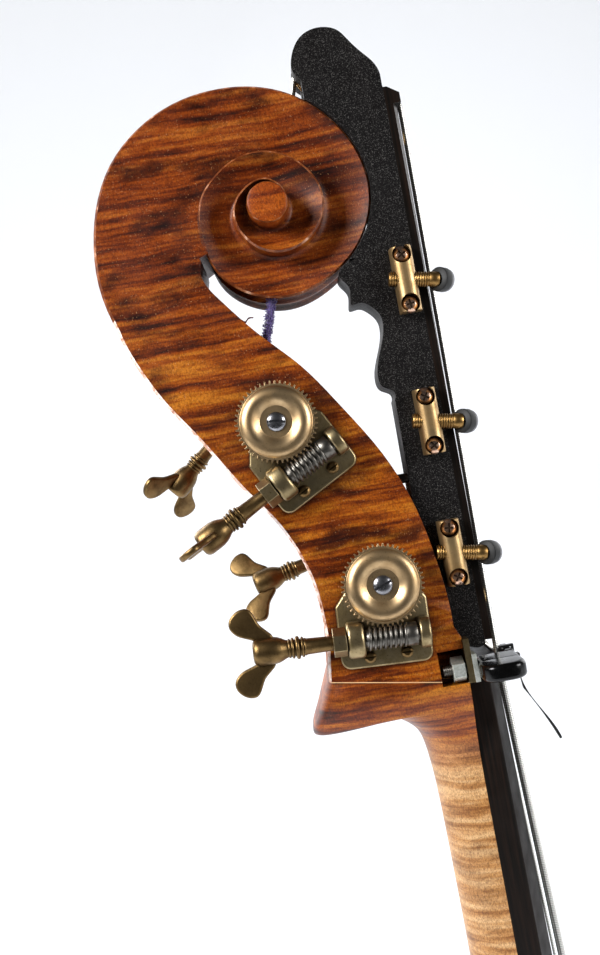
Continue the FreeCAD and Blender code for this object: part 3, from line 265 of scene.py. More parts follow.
finishOf = byNode({
    "varnishedMaple": "scroll_and_pegbox", "neckMaple": "neck", "stainedExtensionWood": "extension_body",
    "oiledEbony": "fingerboard nut extension_fingerboard extension_nut extension_prop",
    "agedPlateBrass": "gate_plate worm_lock_nuts machine_plate roller", "blackNylon": "cable_tie",
    "castKeyBronze": "machine_plate_screws key", "brushedBracketBrass": "capo_brackets",
    "brightBrass": "extension_screws pulley_pin string_pulley", "satinGearBrass": "gear_wheel",
    "crossHeadScrewBrass": "capo_bracket_screws", "threadedRodBrass": "capo_rod", "blackRubber": "capo_pad",
    "oiledWormSteel": "gate_bolt worm", "zincPlatedSteel": "gate_washer gate_nut",
    "polishedScrewSteel": "gear_screw", "polishedBlackLever": "gate_lever",
    "ribbonWoundString": "string winding", "purpleSilk": "winding_1",
})


# entry for the node itself, or for its family without the number
def lookUp(table, node):
    return table[node] if node in table else table[node.rsplit("_", 1)[0]]


for node, piece in frame["nodes"].items():
    piece.data.materials.clear()
    piece.data.materials.append(finishes[lookUp(finishOf, node)])
print("frame painted")

# making pieces

# CAD nodes that a finer piece stands in for
shown = set()


def looseObject(name, data):
    holder = bpy.data.objects.new(name, data)
    bpy.context.scene.collection.objects.link(holder)
    return holder


# shows the mesh on the node's body, as a rule instead of the node
def newPiece(name, mesh, node, materials=None, instead=True):
    piece = looseObject(name, mesh)
    indices = [face.material_index for face in mesh.polygons]
    mesh.materials.clear()
    for material in materials or [lookUp(finishOf, node)]:
        mesh.materials.append(finishes[material])
    mesh.polygons.foreach_set("material_index", [min(index, len(mesh.materials) - 1) for index in indices])
    bodies = frame["record"]["behaviour"]["bodies"]
    body = next(body for body in bodies if node in bodies[body])
    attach(piece, body)
    if instead:
        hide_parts(node)
        shown.add(node)
    return piece


# the mesh that a bmesh gives
def meshOf(work, name, outward=False):
    if outward:
        bmesh.ops.recalc_face_normals(work, faces=work.faces)
    mesh = bpy.data.meshes.new(name)
    work.to_mesh(mesh)
    work.free()
    return mesh


# the CAD mesh as joined faces
def mergedCopy(node, flatAngle=0.6):
    work = bmesh.new()
    work.from_mesh(frame["nodes"][node].data)
    bmesh.ops.remove_doubles(work, verts=work.verts, dist=0.002 * mm)
    bmesh.ops.dissolve_limit(work, angle_limit=math.radians(flatAngle), verts=work.verts, edges=work.edges)
    return work


def joinMeshes(name, meshes):
    work = bmesh.new()
    for mesh in meshes:
        work.from_mesh(mesh)
    return meshOf(work, name)


# the object's mesh with its modifiers worked in
def applyModifiers(holder):
    shape = bpy.data.meshes.new_from_object(holder.evaluated_get(bpy.context.evaluated_depsgraph_get()))
    bpy.data.objects.remove(holder)
    return shape


def smoothByAngle(mesh, angle):
    mesh.shade_smooth()
    mesh.set_sharp_from_angle(angle=math.radians(angle))


# smooth shading that large flat faces keep to themselves
def evenShading(mesh, angle):
    smoothByAngle(mesh, angle)
    holder = looseObject("shading", mesh)
    holder.modifiers.new("normals", "WEIGHTED_NORMAL").keep_sharp = True
    return applyModifiers(holder)


def bevelled(mesh, width, segments=3, angle=32):
    holder = looseObject("bevelled", mesh)
    bevel = holder.modifiers.new("edges", "BEVEL")
    bevel.width = width
    bevel.segments = segments
    bevel.limit_method = "ANGLE"
    bevel.angle_limit = math.radians(angle)
    return applyModifiers(holder)


# the mesh without what lies inside the tool, or only that
def cutWith(mesh, tool, operation="DIFFERENCE"):
    holder = looseObject("cut", mesh)
    cutter = looseObject("cutter", tool)
    cut = holder.modifiers.new("cut", "BOOLEAN")
    cut.operation = operation
    cut.solver = "EXACT"
    cut.object = cutter
    result = applyModifiers(holder)
    bpy.data.objects.remove(cutter)
    return result


def moved(mesh, matrix):
    mesh.transform(matrix)
    if matrix.to_3x3().determinant() < 0:
        mesh.flip_normals()
    return mesh


# matrix whose columns are the three axes
def axes(x, y, z, origin=(0, 0, 0)):
    return Matrix.Translation(Vector(origin)) @ Matrix((x, y, z)).transposed().to_4x4()


# a CAD piece with its sharp edges rounded, as filing and handling leave them
def softenNode(node, width):
    mesh = meshOf(mergedCopy(node), node + "Soft")
    if width:
        mesh = bevelled(mesh, width * mm, 3 if width > 0.6 else 2)
    return newPiece(node + "Piece", evenShading(mesh, 40), node)


# joins shapes in millimetres, puts them in place and shows them instead of the CAD piece
def standIn(name, meshes, place, node, angle=40, materials=None):
    mesh = moved(joinMeshes(name, meshes), Matrix.Scale(mm, 4) @ place)
    smoothByAngle(mesh, angle)
    return newPiece(name, mesh, node, materials)


# lines and shapes

# value at where from a list of (where, value), on a smooth curve through all of them
def smoothTable(table, where):
    if where <= table[0][0]:
        return table[0][1]
    for index in range(len(table) - 1):
        (x1, y1), (x2, y2) = table[index], table[index + 1]
        if where <= x2:
            x0, y0 = table[max(index - 1, 0)]
            x3, y3 = table[min(index + 2, len(table) - 1)]
            slopeIn = (y2 - y0) / (x2 - x0)
            slopeOut = (y3 - y1) / (x3 - x1)
            t = (where - x1) / (x2 - x1)
            span = x2 - x1
            return ((2 * t ** 3 - 3 * t ** 2 + 1) * y1 + (t ** 3 - 2 * t ** 2 + t) * span * slopeIn
                    + (3 * t ** 2 - 2 * t ** 3) * y2 + (t ** 3 - t ** 2) * span * slopeOut)
    return table[-1][1]


# count points along a smooth curve through the points, evenly spaced by length or by point
def alongCurve(points, count, even=True):
    tables = [[(i, point[axis]) for i, point in enumerate(points)] for axis in (0, 1)]
    last = len(points) - 1
    steps = 40 * last if even else count - 1
    dense = [tuple(smoothTable(table, last * step / steps) for table in tables) for step in range(steps + 1)]
    if not even:
        return dense
    lengths = [0.0]
    for a, b in zip(dense, dense[1:]):
        lengths.append(lengths[-1] + math.dist(a, b))
    result = []
    place = 0
    for k in range(count):
        target = lengths[-1] * k / (count - 1)
        while place < len(lengths) - 2 and lengths[place + 1] < target:
            place += 1
        share = (target - lengths[place]) / max(lengths[place + 1] - lengths[place], 1e-9)
        share = min(max(share, 0), 1)
        result.append(tuple(a + (b - a) * share for a, b in zip(dense[place], dense[place + 1])))
    return result


# points round a centre, from one angle in degrees to the other
def arc(x, y, radius, start, end, steps):
    turns = [math.radians(start + (end - start) * step / steps) for step in range(steps + 1)]
    return [(x + radius * math.cos(turn), y + radius * math.sin(turn)) for turn in turns]


# closed rings of points joined into a tube with flat ends; tags gives each ring segment's material
def skin(loops, tags=None):
    count = len(loops[0])
    last = (len(loops) - 1) * count
    faces = []
    for ring in range(0, last, count):
        for i in range(count):
            j = (i + 1) % count
            faces.append((ring + i, ring + j, ring + count + j, ring + count + i))
    faces += [tuple(range(count))[::-1], tuple(range(last, last + count))]
    mesh = bpy.data.meshes.new("skin")
    mesh.from_pydata([point for loop in loops for point in loop], [], faces)
    if tags:
        mesh.polygons.foreach_set("material_index", tags * (len(loops) - 1) + [0, 0])
    work = bmesh.new()
    work.from_mesh(mesh)
    return meshOf(work, "skin", outward=True)


def prism(outline, low, high):
    return skin([[(x, y, z) for x, y in outline] for z in (low, high)])


def block(low, high):
    (x0, y0, z0), (x1, y1, z1) = low, high
    return prism([(x0, y0), (x1, y0), (x1, y1), (x0, y1)], z0, z1)


# profile of (radius, height) turned round Z; rings from tagFrom on take the second material
def lathe(profile, steps=48, tagFrom=None):
    work = bmesh.new()
    turns = arc(0, 0, 1, 0, 360, steps)[:-1]
    rings = []
    for radius, height in profile:
        if radius == 0:
            rings.append([work.verts.new((0, 0, height))] * steps)
        else:
            rings.append([work.verts.new((radius * x, radius * y, height)) for x, y in turns])
    for row, (low, high) in enumerate(zip(rings, rings[1:])):
        for k in range(steps):
            corners = [low[k], low[(k + 1) % steps], high[(k + 1) % steps], high[k]]
            face = work.faces.new(list(dict.fromkeys(corners)))
            face.material_index = 1 if tagFrom is not None and row >= tagFrom else 0
    return meshOf(work, "turned", outward=True)


# scroll and pegbox

scroll = {
    "eye": (-55.8, 428.9), "eyeRadius": 10.3, "eyeHalf": 41.8,
    # radius of the outer edge at each angle, counted down from the start of the first turn
    "radii": [(206, 97.6), (194, 94.3), (180, 90.0), (155, 83.5), (135, 76.6), (108, 68.1), (90, 64.0),
        (61, 59.0), (45, 56.5), (0, 53.0), (-28, 49.7), (-56, 46.4), (-90, 45.1), (-135, 41.9),
        (-157, 38.6), (-180, 36.2), (-200, 34.4), (-225, 31.2), (-270, 29.0), (-315, 27.8), (-360, 28.5),
        (-405, 26.5), (-450, 23.6), (-495, 20.0), (-540, 17.7), (-585, 14.4), (-630, 13.1), (-675, 11.0),
        (-700, 10.5)],
    # half width of the outer edge
    "halves": [(206, 28.8), (180, 27.6), (135, 26.8), (90, 25.0), (45, 24.1), (0, 23.4), (-45, 23.0),
        (-90, 22.7), (-135, 24.6), (-180, 27.3), (-225, 29.2), (-270, 30.2), (-360, 31.4), (-450, 32.6),
        (-540, 35.0), (-585, 36.5), (-630, 38.0), (-675, 39.7), (-700, 40.5)],
    # how far the side is carved in at the foot of the next turn
    "carved": [(206, 0.0), (180, 0.4), (135, 1.6), (90, 3.0), (45, 4.5), (0, 4.9), (-45, 4.8), (-90, 4.8),
        (-135, 5.4), (-180, 6.2), (-225, 6.6), (-315, 6.6), (-405, 6.3), (-495, 5.8), (-585, 5.0),
        (-675, 3.3), (-700, 3.0)],
    "chamfer": 1.6, "rubbed": 1.0, "flute": 3.2, "step": 4,
    # points across the back, and the middle ridge and each flute as shares of its half width
    "backSteps": 24, "ridge": 0.07, "fluteWide": 0.87,
    # the pegbox's skin stands this much inside the CAD solid at the back and outside it at the sides
    "backIn": 0.02, "sideOut": 0.06,
    "backEdge": [(-69.3, 188.5), (-66.5, 213.4), (-68.8, 242.2), (-79.1, 269.0), (-95.1, 292.8),
        (-110.8, 318.7), (-126.8, 343.2), (-137.9, 366.8), (-143.5, 386.2)],
    "frontEdge": [(0.6, 176.0), (0.3, 199.0), (-2.0, 205.0), (-2.3, 218.0), (-5.2, 244.2), (-10.6, 269.6),
        (-22.1, 298.3), (-37.6, 324.2), (-53.7, 347.7), (-70.8, 366.3), (-87.4, 387.4), (-93.9, 399.0),
        (-94.3, 410.0)],
    "pegboxStations": 70, "sideSlope": 0.03379, "startHalf": 35.5, "startAt": 189.0,
}


def pegboxHalf(z):
    return scroll["startHalf"] - scroll["sideSlope"] * (z - scroll["startAt"])


def descending(table, angle):
    return smoothTable([(-a, value) for a, value in table], -angle)


# points across the back from one chamfer to the other: two hollow flutes and a ridge between them
def backProfile(half, depth, chamfer):
    rows = []
    for step in range(scroll["backSteps"] + 1):
        across = 2 * step / scroll["backSteps"] - 1
        share = (abs(across) - scroll["ridge"]) / scroll["fluteWide"]
        sink = depth * math.sin(math.pi * share) ** 0.75 if 0 < share < 1 else 0.0
        rows.append(((half - chamfer) * across, sink))
    return rows


# the chamfers on both sides of the back take their own material
def chamferTags(loops, material):
    tags = [0] * len(loops[0])
    tags[scroll["backSteps"]] = tags[-1] = material
    return tags


# ring round the pegbox: across the back, and by the chamfers to the front
def pegboxLoop(back, front, share):
    backPoint = Vector((back[0], 0, back[1]))
    frontPoint = Vector((front[0], 0, front[1]))
    along = (frontPoint - backPoint).normalized()
    depth = scroll["flute"] * min(1.0, share / 0.12)
    loop = [backPoint + along * (sink + scroll["backIn"]) + Vector((0, y, 0))
            for y, sink in backProfile(pegboxHalf(back[1]), depth, scroll["chamfer"])]
    corner = backPoint + along * scroll["chamfer"]
    nearFront = frontPoint - along * 0.7
    half = pegboxHalf(nearFront.z) + scroll["sideOut"]
    side = [(corner, pegboxHalf(corner.z) + scroll["sideOut"]), (nearFront, half), (frontPoint, half - 0.8)]
    loop += [point + Vector((0, y, 0)) for point, y in side]
    loop += [point - Vector((0, y, 0)) for point, y in reversed(side)]
    return [point * mm for point in loop]


def makePegboxMesh():
    count = scroll["pegboxStations"]
    edges = zip(alongCurve(scroll["backEdge"], count), alongCurve(scroll["frontEdge"], count))
    loops = [pegboxLoop(back, front, k / (count - 1)) for k, (back, front) in enumerate(edges)]
    # the CAD solid brings the hollow and the bearings
    work = mergedCopy("scroll_and_pegbox", 0.05)
    bmesh.ops.triangulate(work, faces=work.faces)
    return cutWith(skin(loops, chamferTags(loops, 1)), meshOf(work, "cadScroll"), "INTERSECT")


def volutePoint(angle, radius, y):
    x, z = arc(*scroll["eye"], radius, angle, angle, 1)[0]
    return Vector((x, y, z)) * mm


# ring round the volute's band: across the back, and down each side to the foot of the next turn
def voluteLoop(angle):
    radius, half, carved = (descending(scroll[table], angle) for table in ("radii", "halves", "carved"))
    inner = descending(scroll["radii"], angle - 360) if angle - 360 > -700 else scroll["eyeRadius"]
    inner = min(inner, radius - 3)
    # 1 on the pegbox's flat sides, 0 on the free turns
    flat = min(max((angle - 150) / 50, 0.0), 1.0)
    chamfer = flat * scroll["chamfer"] + (1 - flat) * scroll["rubbed"]
    depth = scroll["flute"] * min(1.0, max(0.0, (angle + 175) / 50))
    side = []
    sideSteps = 12
    for step in range(sideSteps + 1):
        share = step / sideSteps
        r = radius - chamfer - (radius - chamfer - inner) * share
        # the last tenth rises again to the next turn
        sunk = 1 - (1 - share) ** 2 if share < 0.9 else 0.99 - 0.35 * ((share - 0.9) / 0.1) ** 2
        flatHalf = pegboxHalf(volutePoint(angle, r, 0).z / mm)
        side.append((r, flat * flatHalf + (1 - flat) * (half - carved * sunk)))
    side.append((inner - 1.5, side[-1][1] - 1.0))
    loop = [volutePoint(angle, radius - sink, y) for y, sink in backProfile(half, depth, chamfer)]
    loop += [volutePoint(angle, r, y) for r, y in side]
    loop += [volutePoint(angle, r, -y) for r, y in reversed(side)]
    return loop


def makeVoluteMesh():
    angles = range(scroll["radii"][0][0], scroll["radii"][-1][0], -scroll["step"])
    loops = [voluteLoop(angle) for angle in angles]
    return skin(loops, chamferTags(loops, 2))


# round button at the middle of each side, with a rounded and rubbed rim
def makeEyeMesh():
    radius, half = scroll["eyeRadius"], scroll["eyeHalf"]
    profile = [(0, half + 0.15), (radius * 0.5, half + 0.1), (radius - 1.6, half - 0.1),
               (radius - 0.5, half - 0.6), (radius, half - 1.6), (radius + 0.2, half - 5)]
    steps = 48
    mesh = lathe(profile + [(r, -y) for r, y in reversed(profile)], steps)
    for index, face in enumerate(mesh.polygons):
        face.material_index = 2 if index // steps in (3, 7) else 3
    x, z = scroll["eye"]
    return moved(mesh, Matrix.Scale(mm, 4) @ axes((1, 0, 0), (0, 0, 1), (0, 1, 0), (x, 0, z)))


def makeScroll():
    mesh = joinMeshes("scrollAndPegbox", [makePegboxMesh(), makeVoluteMesh(), makeEyeMesh()])
    newPiece("scrollAndPegbox", evenShading(mesh, 28), "scroll_and_pegbox",
             ["varnishedMaple", "wornVarnishEdge", "rubbedVarnishEdge", "orangeVarnishedMaple"])


makeScroll()
print("scroll made")

# neck

neck = {
    "front": [(0, 0), (0, 40), (0, 80), (0, 112), (0, 128), (0, 138), (0, 145), (0, 151), (0, 157),
        (0, 162), (0, 166.5), (0, 170.5), (0, 174), (0, 176)],
    "back": [(-22, 0), (-22, 40), (-22.3, 80), (-22.9, 114), (-24.0, 132), (-26.2, 146), (-30.6, 153.6),
        (-38.9, 160.4), (-47.0, 163.6), (-60.0, 164.1), (-73.5, 160.7), (-81.9, 160.2), (-76.5, 172.0),
        (-69.1, 188.3)],
    "halves": [(0, 24.4), (60, 23.2), (114, 22.3), (128, 22.6), (138, 23.6), (150, 27.0), (165, 33.0),
        (176, 35.4), (190, 35.5)],
    # 2 is a half round; more is squarer
    "squareness": [(0, 2.0), (0.30, 2.0), (0.5, 2.4), (0.7, 3.2), (0.85, 4.5), (1.0, 9.0)],
    "stations": 90, "notchBack": -13.5, "notchFar": -24.5, "notchFoot": 176.0,
}


# half round from side to side, squarer towards the chin
def neckLoop(front, back, squareness):
    start = Vector((front[0], 0, front[1]))
    reach = Vector((back[0], 0, back[1])) - start
    loop = []
    for cos, sin in arc(0, 0, 1, -90, 90, 40):
        point = start + reach * abs(cos) ** (2 / squareness)
        half = smoothTable(neck["halves"], point.z)
        loop.append(Vector((point.x, half * math.copysign(abs(sin) ** (2 / squareness), sin), point.z)) * mm)
    return loop


def makeNeck():
    count = neck["stations"]
    edges = zip(alongCurve(neck["front"], count, even=False), alongCurve(neck["back"], count, even=False))
    loops = [neckLoop(front, back, smoothTable(neck["squareness"], k / (count - 1)))
             for k, (front, back) in enumerate(edges)]
    notch = block((neck["notchBack"], -60, neck["notchFoot"]), (5, neck["notchFar"], 200))
    mesh = cutWith(skin(loops), moved(notch, Matrix.Scale(mm, 4)))
    smoothByAngle(mesh, 40)
    newPiece("carvedNeck", mesh, "neck")


makeNeck()
print("neck made")

# things that repeat, made with Geometry Nodes

# node group with named inputs and a geometry output
def startTree(name, inputs):
    tree = bpy.data.node_groups.new(name, "GeometryNodeTree")
    for label, kind in {"Geometry": "Geometry", **inputs}.items():
        tree.interface.new_socket(label, in_out="INPUT", socket_type="NodeSocket" + kind)
    tree.interface.new_socket("Geometry", in_out="OUTPUT", socket_type="NodeSocketGeometry")
    return tree, partial(addNode, tree), addNode(tree, "NodeGroupInput").outputs


def endTree(add, shape, finish):
    real = add("RealizeInstances", {0: shape})
    add("NodeGroupOutput", {0: add("SetMaterial", {0: real, "Material": finishes[finish]})})


# plain mesh that the tree gives for these inputs
def runTree(tree, inputs):
    holder = looseObject(tree.name, bpy.data.meshes.new(tree.name))
    modifier = holder.modifiers.new("nodes", "NODES")
    modifier.node_group = tree
    for item in tree.interface.items_tree:
        if item.in_out == "INPUT" and item.name in inputs:
            modifier[item.identifier] = inputs[item.name]
    mesh = applyModifiers(holder)
    mesh.materials.clear()
    mesh.polygons.foreach_set("material_index", [0] * len(mesh.polygons))
    return mesh


# ridge that winds round Z
def threadTree(finish):
    inputs = dict.fromkeys(["Pitch", "Turns", "Radius", "Ridge", "Start"], "Float")
    tree, add, given = startTree("thread", inputs)
    length = add("ShaderNodeMath", {0: given["Pitch"], 1: given["Turns"]}, operation="MULTIPLY")
    helix = add("CurveSpiral", {"Resolution": 40, "Rotations": given["Turns"], "Height": length,
                                "Start Radius": given["Radius"], "End Radius": given["Radius"]})
    upright = add("SetCurveNormal", {0: helix}, mode="Z_UP")
    ridge = add("CurvePrimitiveCircle", {"Resolution": 8, "Radius": given["Ridge"]})
    swept = add("CurveToMesh", {"Curve": upright, "Profile Curve": ridge, "Fill Caps": True})
    lift = add("ShaderNodeCombineXYZ", {"Z": given["Start"]})
    endTree(add, add("Transform", {0: swept, "Translation": lift}), finish)
    return tree


# short bent fibres that stand off a line from Start to End
def fuzzTree(finish):
    inputs = {"Start": "Vector", "End": "Vector", "Count": "Float", "Reach": "Float", "Fibre": "Float"}
    tree, add, given = startTree("fuzz", inputs)
    line = add("CurvePrimitiveLine", {"Start": given["Start"], "End": given["End"]})
    points = add("CurveToPoints", {"Curve": line, "Count": given["Count"]})
    bow = {"Start": (0, 0, 0), "Middle": (0.2, 0, 0.6), "End": (0.75, 0, 0.85)}
    fibre = add("CurveQuadraticBezier", dict(bow, Resolution=4))
    thin = add("CurvePrimitiveCircle", {"Resolution": 3, "Radius": given["Fibre"]})
    hair = add("CurveToMesh", {"Curve": fibre, "Profile Curve": thin, "Fill Caps": True})
    turn = add("FunctionNodeRandomValue", {"Min": (-0.9, -0.9, 0.0), "Max": (3.9, 3.9, 6.2), "Seed": 7},
               data_type="FLOAT_VECTOR")
    size = add("FunctionNodeRandomValue", {2: 0.45, 3: 1.0, "Seed": 3}, data_type="FLOAT")
    reach = add("ShaderNodeMath", {0: size, 1: given["Reach"]}, operation="MULTIPLY")
    hairs = add("InstanceOnPoints", {"Points": points, "Instance": hair, "Rotation": turn, "Scale": reach})
    endTree(add, hairs, finish)
    return tree


# tuning machines

machines = [
    {"side": -1, "at": (-71.2, 320.7), "angle": 27.5, "roll": 90, "slot": 142},
    {"side": -1, "at": (-34.4, 232.5), "angle": -3.5, "roll": 0, "slot": 23},
    {"side": 1, "at": (-101.8, 358.7), "angle": 39.8, "roll": 50, "slot": 70},
    {"side": 1, "at": (-40.7, 274.5), "angle": 12, "roll": -30, "slot": 110},
]
wormPlace = axes((0, -1, 0), (0, 0, -1), (1, 0, 0), (0, 25.39, 10.2))


# U to the key, V from gear to worm, W out of the pegbox
def machinePlace(machine):
    angle = math.radians(machine["angle"])
    side = machine["side"]
    cos, sin = math.cos(angle), math.sin(angle)
    turn = axes((-cos, 0, -sin), (sin, 0, -cos), (0, side, 0))
    # the pegbox's sides lean in
    lean = Matrix.Rotation(side * math.radians(1.935), 4, "X")
    x, z = machine["at"]
    return Matrix.Translation((x, side * pegboxHalf(z), z)) @ lean @ turn


key = {
    "shaft": [(0, 27.5), (3.6, 27.5), (3.7, 31), (4.0, 40.6), (4.4, 41.3)],
    # centre, radius and half width of each bead, over the bare rod
    "beads": [(42.6, 5.1, 0.7), (45.0, 5.75, 1.15), (47.4, 5.2, 0.75), (49.1, 4.75, 0.6)], "rod": 4.2,
    "barrel": [(4.3, 50.0), (4.6, 51.0), (5.5, 52.6), (6.3, 54.6), (6.8, 57.0), (6.9, 59.5), (6.9, 63.6),
        (6.6, 65.2), (5.9, 66.3), (4.9, 66.9), (0, 67.0)],
    # one ear, across and along; the other mirrors it
    "ear": [(0, 63.0), (4.5, 64.0), (6.5, 68.0), (9.0, 74.0), (13.0, 77.3), (17.5, 76.8), (21.0, 73.0),
        (21.9, 68.6), (20.3, 66.0), (17.0, 64.3), (13.0, 62.3), (9.0, 58.2), (6.8, 56.5), (0, 56.6)],
    "thickness": 3.3, "edge": 1.15,
}


def makeKey(machine, number):
    profile = list(key["shaft"])
    for centre, radius, half in key["beads"]:
        profile += [(key["rod"] + (radius - key["rod"]) * sin, centre - half * cos)
                    for cos, sin in arc(0, 0, 1, 0, 180, 6)]
    meshes = [lathe(profile + key["barrel"])]
    for side in (-1, 1):
        outline = [(side * across, along) for across, along in alongCurve(key["ear"], 40)]
        ear = bevelled(prism(outline, -key["thickness"] / 2, key["thickness"] / 2), key["edge"])
        meshes.append(moved(ear, Matrix.Rotation(math.radians(90), 4, "X")))
    place = machinePlace(machine) @ wormPlace @ Matrix.Rotation(math.radians(machine["roll"]), 4, "Z")
    standIn(f"castKey{number}", meshes, place, f"key_{number}")


worm = {
    "core": [(0, -20.4), (2.2, -20.4), (3.5, -19.8), (3.6, -14.4), (5.3, -14.2), (5.75, -13.7),
        (5.75, -9.0), (5.4, -8.5), (4.7, -8.3), (4.7, 10.6), (4.2, 11.2), (4.2, 14.1), (3.6, 14.3),
        (3.6, 27.4), (0, 27.4)],
    "thread": {"Pitch": 2.5, "Turns": 7.6, "Radius": 5.4, "Ridge": 0.72, "Start": -8.75},
}


def makeWorm(machine, number):
    meshes = [lathe(worm["core"]), runTree(wormThread, worm["thread"])]
    standIn(f"cutWorm{number}", meshes, machinePlace(machine) @ wormPlace, f"worm_{number}", 55)


plate = {
    "head": 13.5, "shoulder": 9.0, "foot": 40.5, "endSide": -21.5, "keySide": 24.5, "corner": 5.0,
    "thickness": 3.0, "edge": 1.1,
    # start and end along the worm, half width and top of the two bearings
    "bearings": [{"along": (11.9, 20.6), "half": 8.9, "edge": 1.9},
                 {"along": (-20.6, -15.0), "half": 7.4, "edge": 1.2}],
    "axis": (25.39, 10.2), "rise": 6.2, "sunk": 2.0,
}


# flat plate round the gear's axis, with two posts that carry the worm
def makePlate(machine, number):
    corner = plate["corner"]
    low = plate["foot"] - corner
    outline = arc(0, 0, plate["head"], -135, -45, 12) + [(plate["keySide"], plate["shoulder"])]
    outline += arc(plate["keySide"] - corner, low, corner, 0, 90, 6)
    outline += arc(plate["endSide"] + corner, low, corner, 90, 180, 6)
    outline += [(plate["endSide"], plate["shoulder"])]
    meshes = [bevelled(prism(outline, 0, plate["thickness"]), plate["edge"])]
    across, height = plate["axis"]
    for bearing in plate["bearings"]:
        half = bearing["half"]
        outline = [(across - half, plate["sunk"])]
        outline += [(across + half * cos, height + plate["rise"] * sin)
                    for cos, sin in arc(0, 0, 1, 180, 0, 16)]
        outline.append((across + half, plate["sunk"]))
        post = bevelled(prism(outline, *bearing["along"]), bearing["edge"], 4, 50)
        # the outline lies across the worm
        meshes.append(moved(post, axes((0, 1, 0), (0, 0, 1), (1, 0, 0))))
    standIn(f"castPlate{number}", meshes, machinePlace(machine), f"machine_plate_{number}")


gearScrew = {"top": 14.6, "dome": [(4.85, 0.0), (4.75, 0.7), (4.1, 1.35), (2.9, 1.85), (1.5, 2.1), (0, 2.2)],
             "slot": 0.62, "deep": 1.25, "shank": 1.8, "length": 11.8}


def makeGearScrew(machine, number):
    dome, top = gearScrew["dome"], gearScrew["top"]
    seat = top - dome[-1][1]
    foot = seat - gearScrew["length"]
    shank = gearScrew["shank"]
    profile = [(0, foot), (shank, foot), (shank, seat)] + [(r, seat + h) for r, h in dome]
    slot = block((-6, -gearScrew["slot"], top - gearScrew["deep"]), (6, gearScrew["slot"], top + 2))
    place = machinePlace(machine) @ Matrix.Rotation(math.radians(machine["slot"]), 4, "Z")
    standIn(f"slottedScrew{number}", [cutWith(lathe(profile), slot)], place, f"gear_screw_{number}", 30)


wormThread = threadTree("oiledWormSteel")
for number, machine in enumerate(machines, 1):
    for make in (makeKey, makeWorm, makePlate, makeGearScrew):
        make(machine, number)
print("machines made")

# capos

capos = {"centres": [(5.75, 380.2), (4.5, 308.1), (4.3, 241.0)], "y": -31.5, "tilt": 10.4, "front": 16.9}
rod = {
    "core": [(0, -8.6), (3.1, -8.6), (3.45, -8.2), (3.45, 11.6), (3.9, 12.0), (3.9, 16.5), (3.5, 16.9),
        (0, 16.9)],
    "thread": {"Pitch": 1.25, "Turns": 15.6, "Radius": 3.42, "Ridge": 0.47, "Start": -8.1},
}
pad = {"profile": [(0, 0.0), (5.5, 0.0), (6.1, 0.5), (6.15, 1.2), (6.15, 4.3), (5.9, 4.8), (5.6, 5.0),
                   (5.75, 5.3), (5.75, 6.4), (5.3, 6.95), (0, 7.0)],
       "greyFrom": 6, "turn": 45, "overlap": 1.5}


def makeCapo(number, tree):
    tilt = math.radians(capos["tilt"])
    axis = Vector((math.cos(tilt), 0, -math.sin(tilt)))
    across = Vector((0, 1, 0))
    x, z = capos["centres"][number - 1]
    middle = Vector((x, capos["y"], z))
    standIn(f"threadedRod{number}", [lathe(rod["core"]), runTree(tree, rod["thread"])],
            axes(across.cross(axis), across, axis, middle), f"capo_rod_{number}", 50)
    turn = math.radians(pad["turn"])
    face = axis * math.cos(turn) + across * math.sin(turn)
    level = Vector((math.sin(tilt), 0, math.cos(tilt)))
    start = middle + axis * capos["front"] - face * pad["overlap"]
    place = axes(level.cross(face), level, face, start)
    rubber = lathe(pad["profile"], tagFrom=pad["greyFrom"])
    standIn(f"rubberPad{number}", [rubber], place, f"capo_pad_{number}", 40, ["blackRubber", "greyRubber"])


bracket = {"width": 11.3, "height": 33.3, "back": -26.5, "depth": 10.0, "straight": 2.5, "squareness": 2.5,
           "edge": 0.5, "pocket": 4.75, "floor": 3.2, "offset": 12.5}
crossScrew = {"head": [(0, 0.0), (4.6, 0.0), (4.6, 0.6), (4.35, 1.5), (3.6, 2.4), (2.3, 3.0), (0, 3.25)],
              "slot": 0.42, "reach": 2.4, "deep": 1.2}


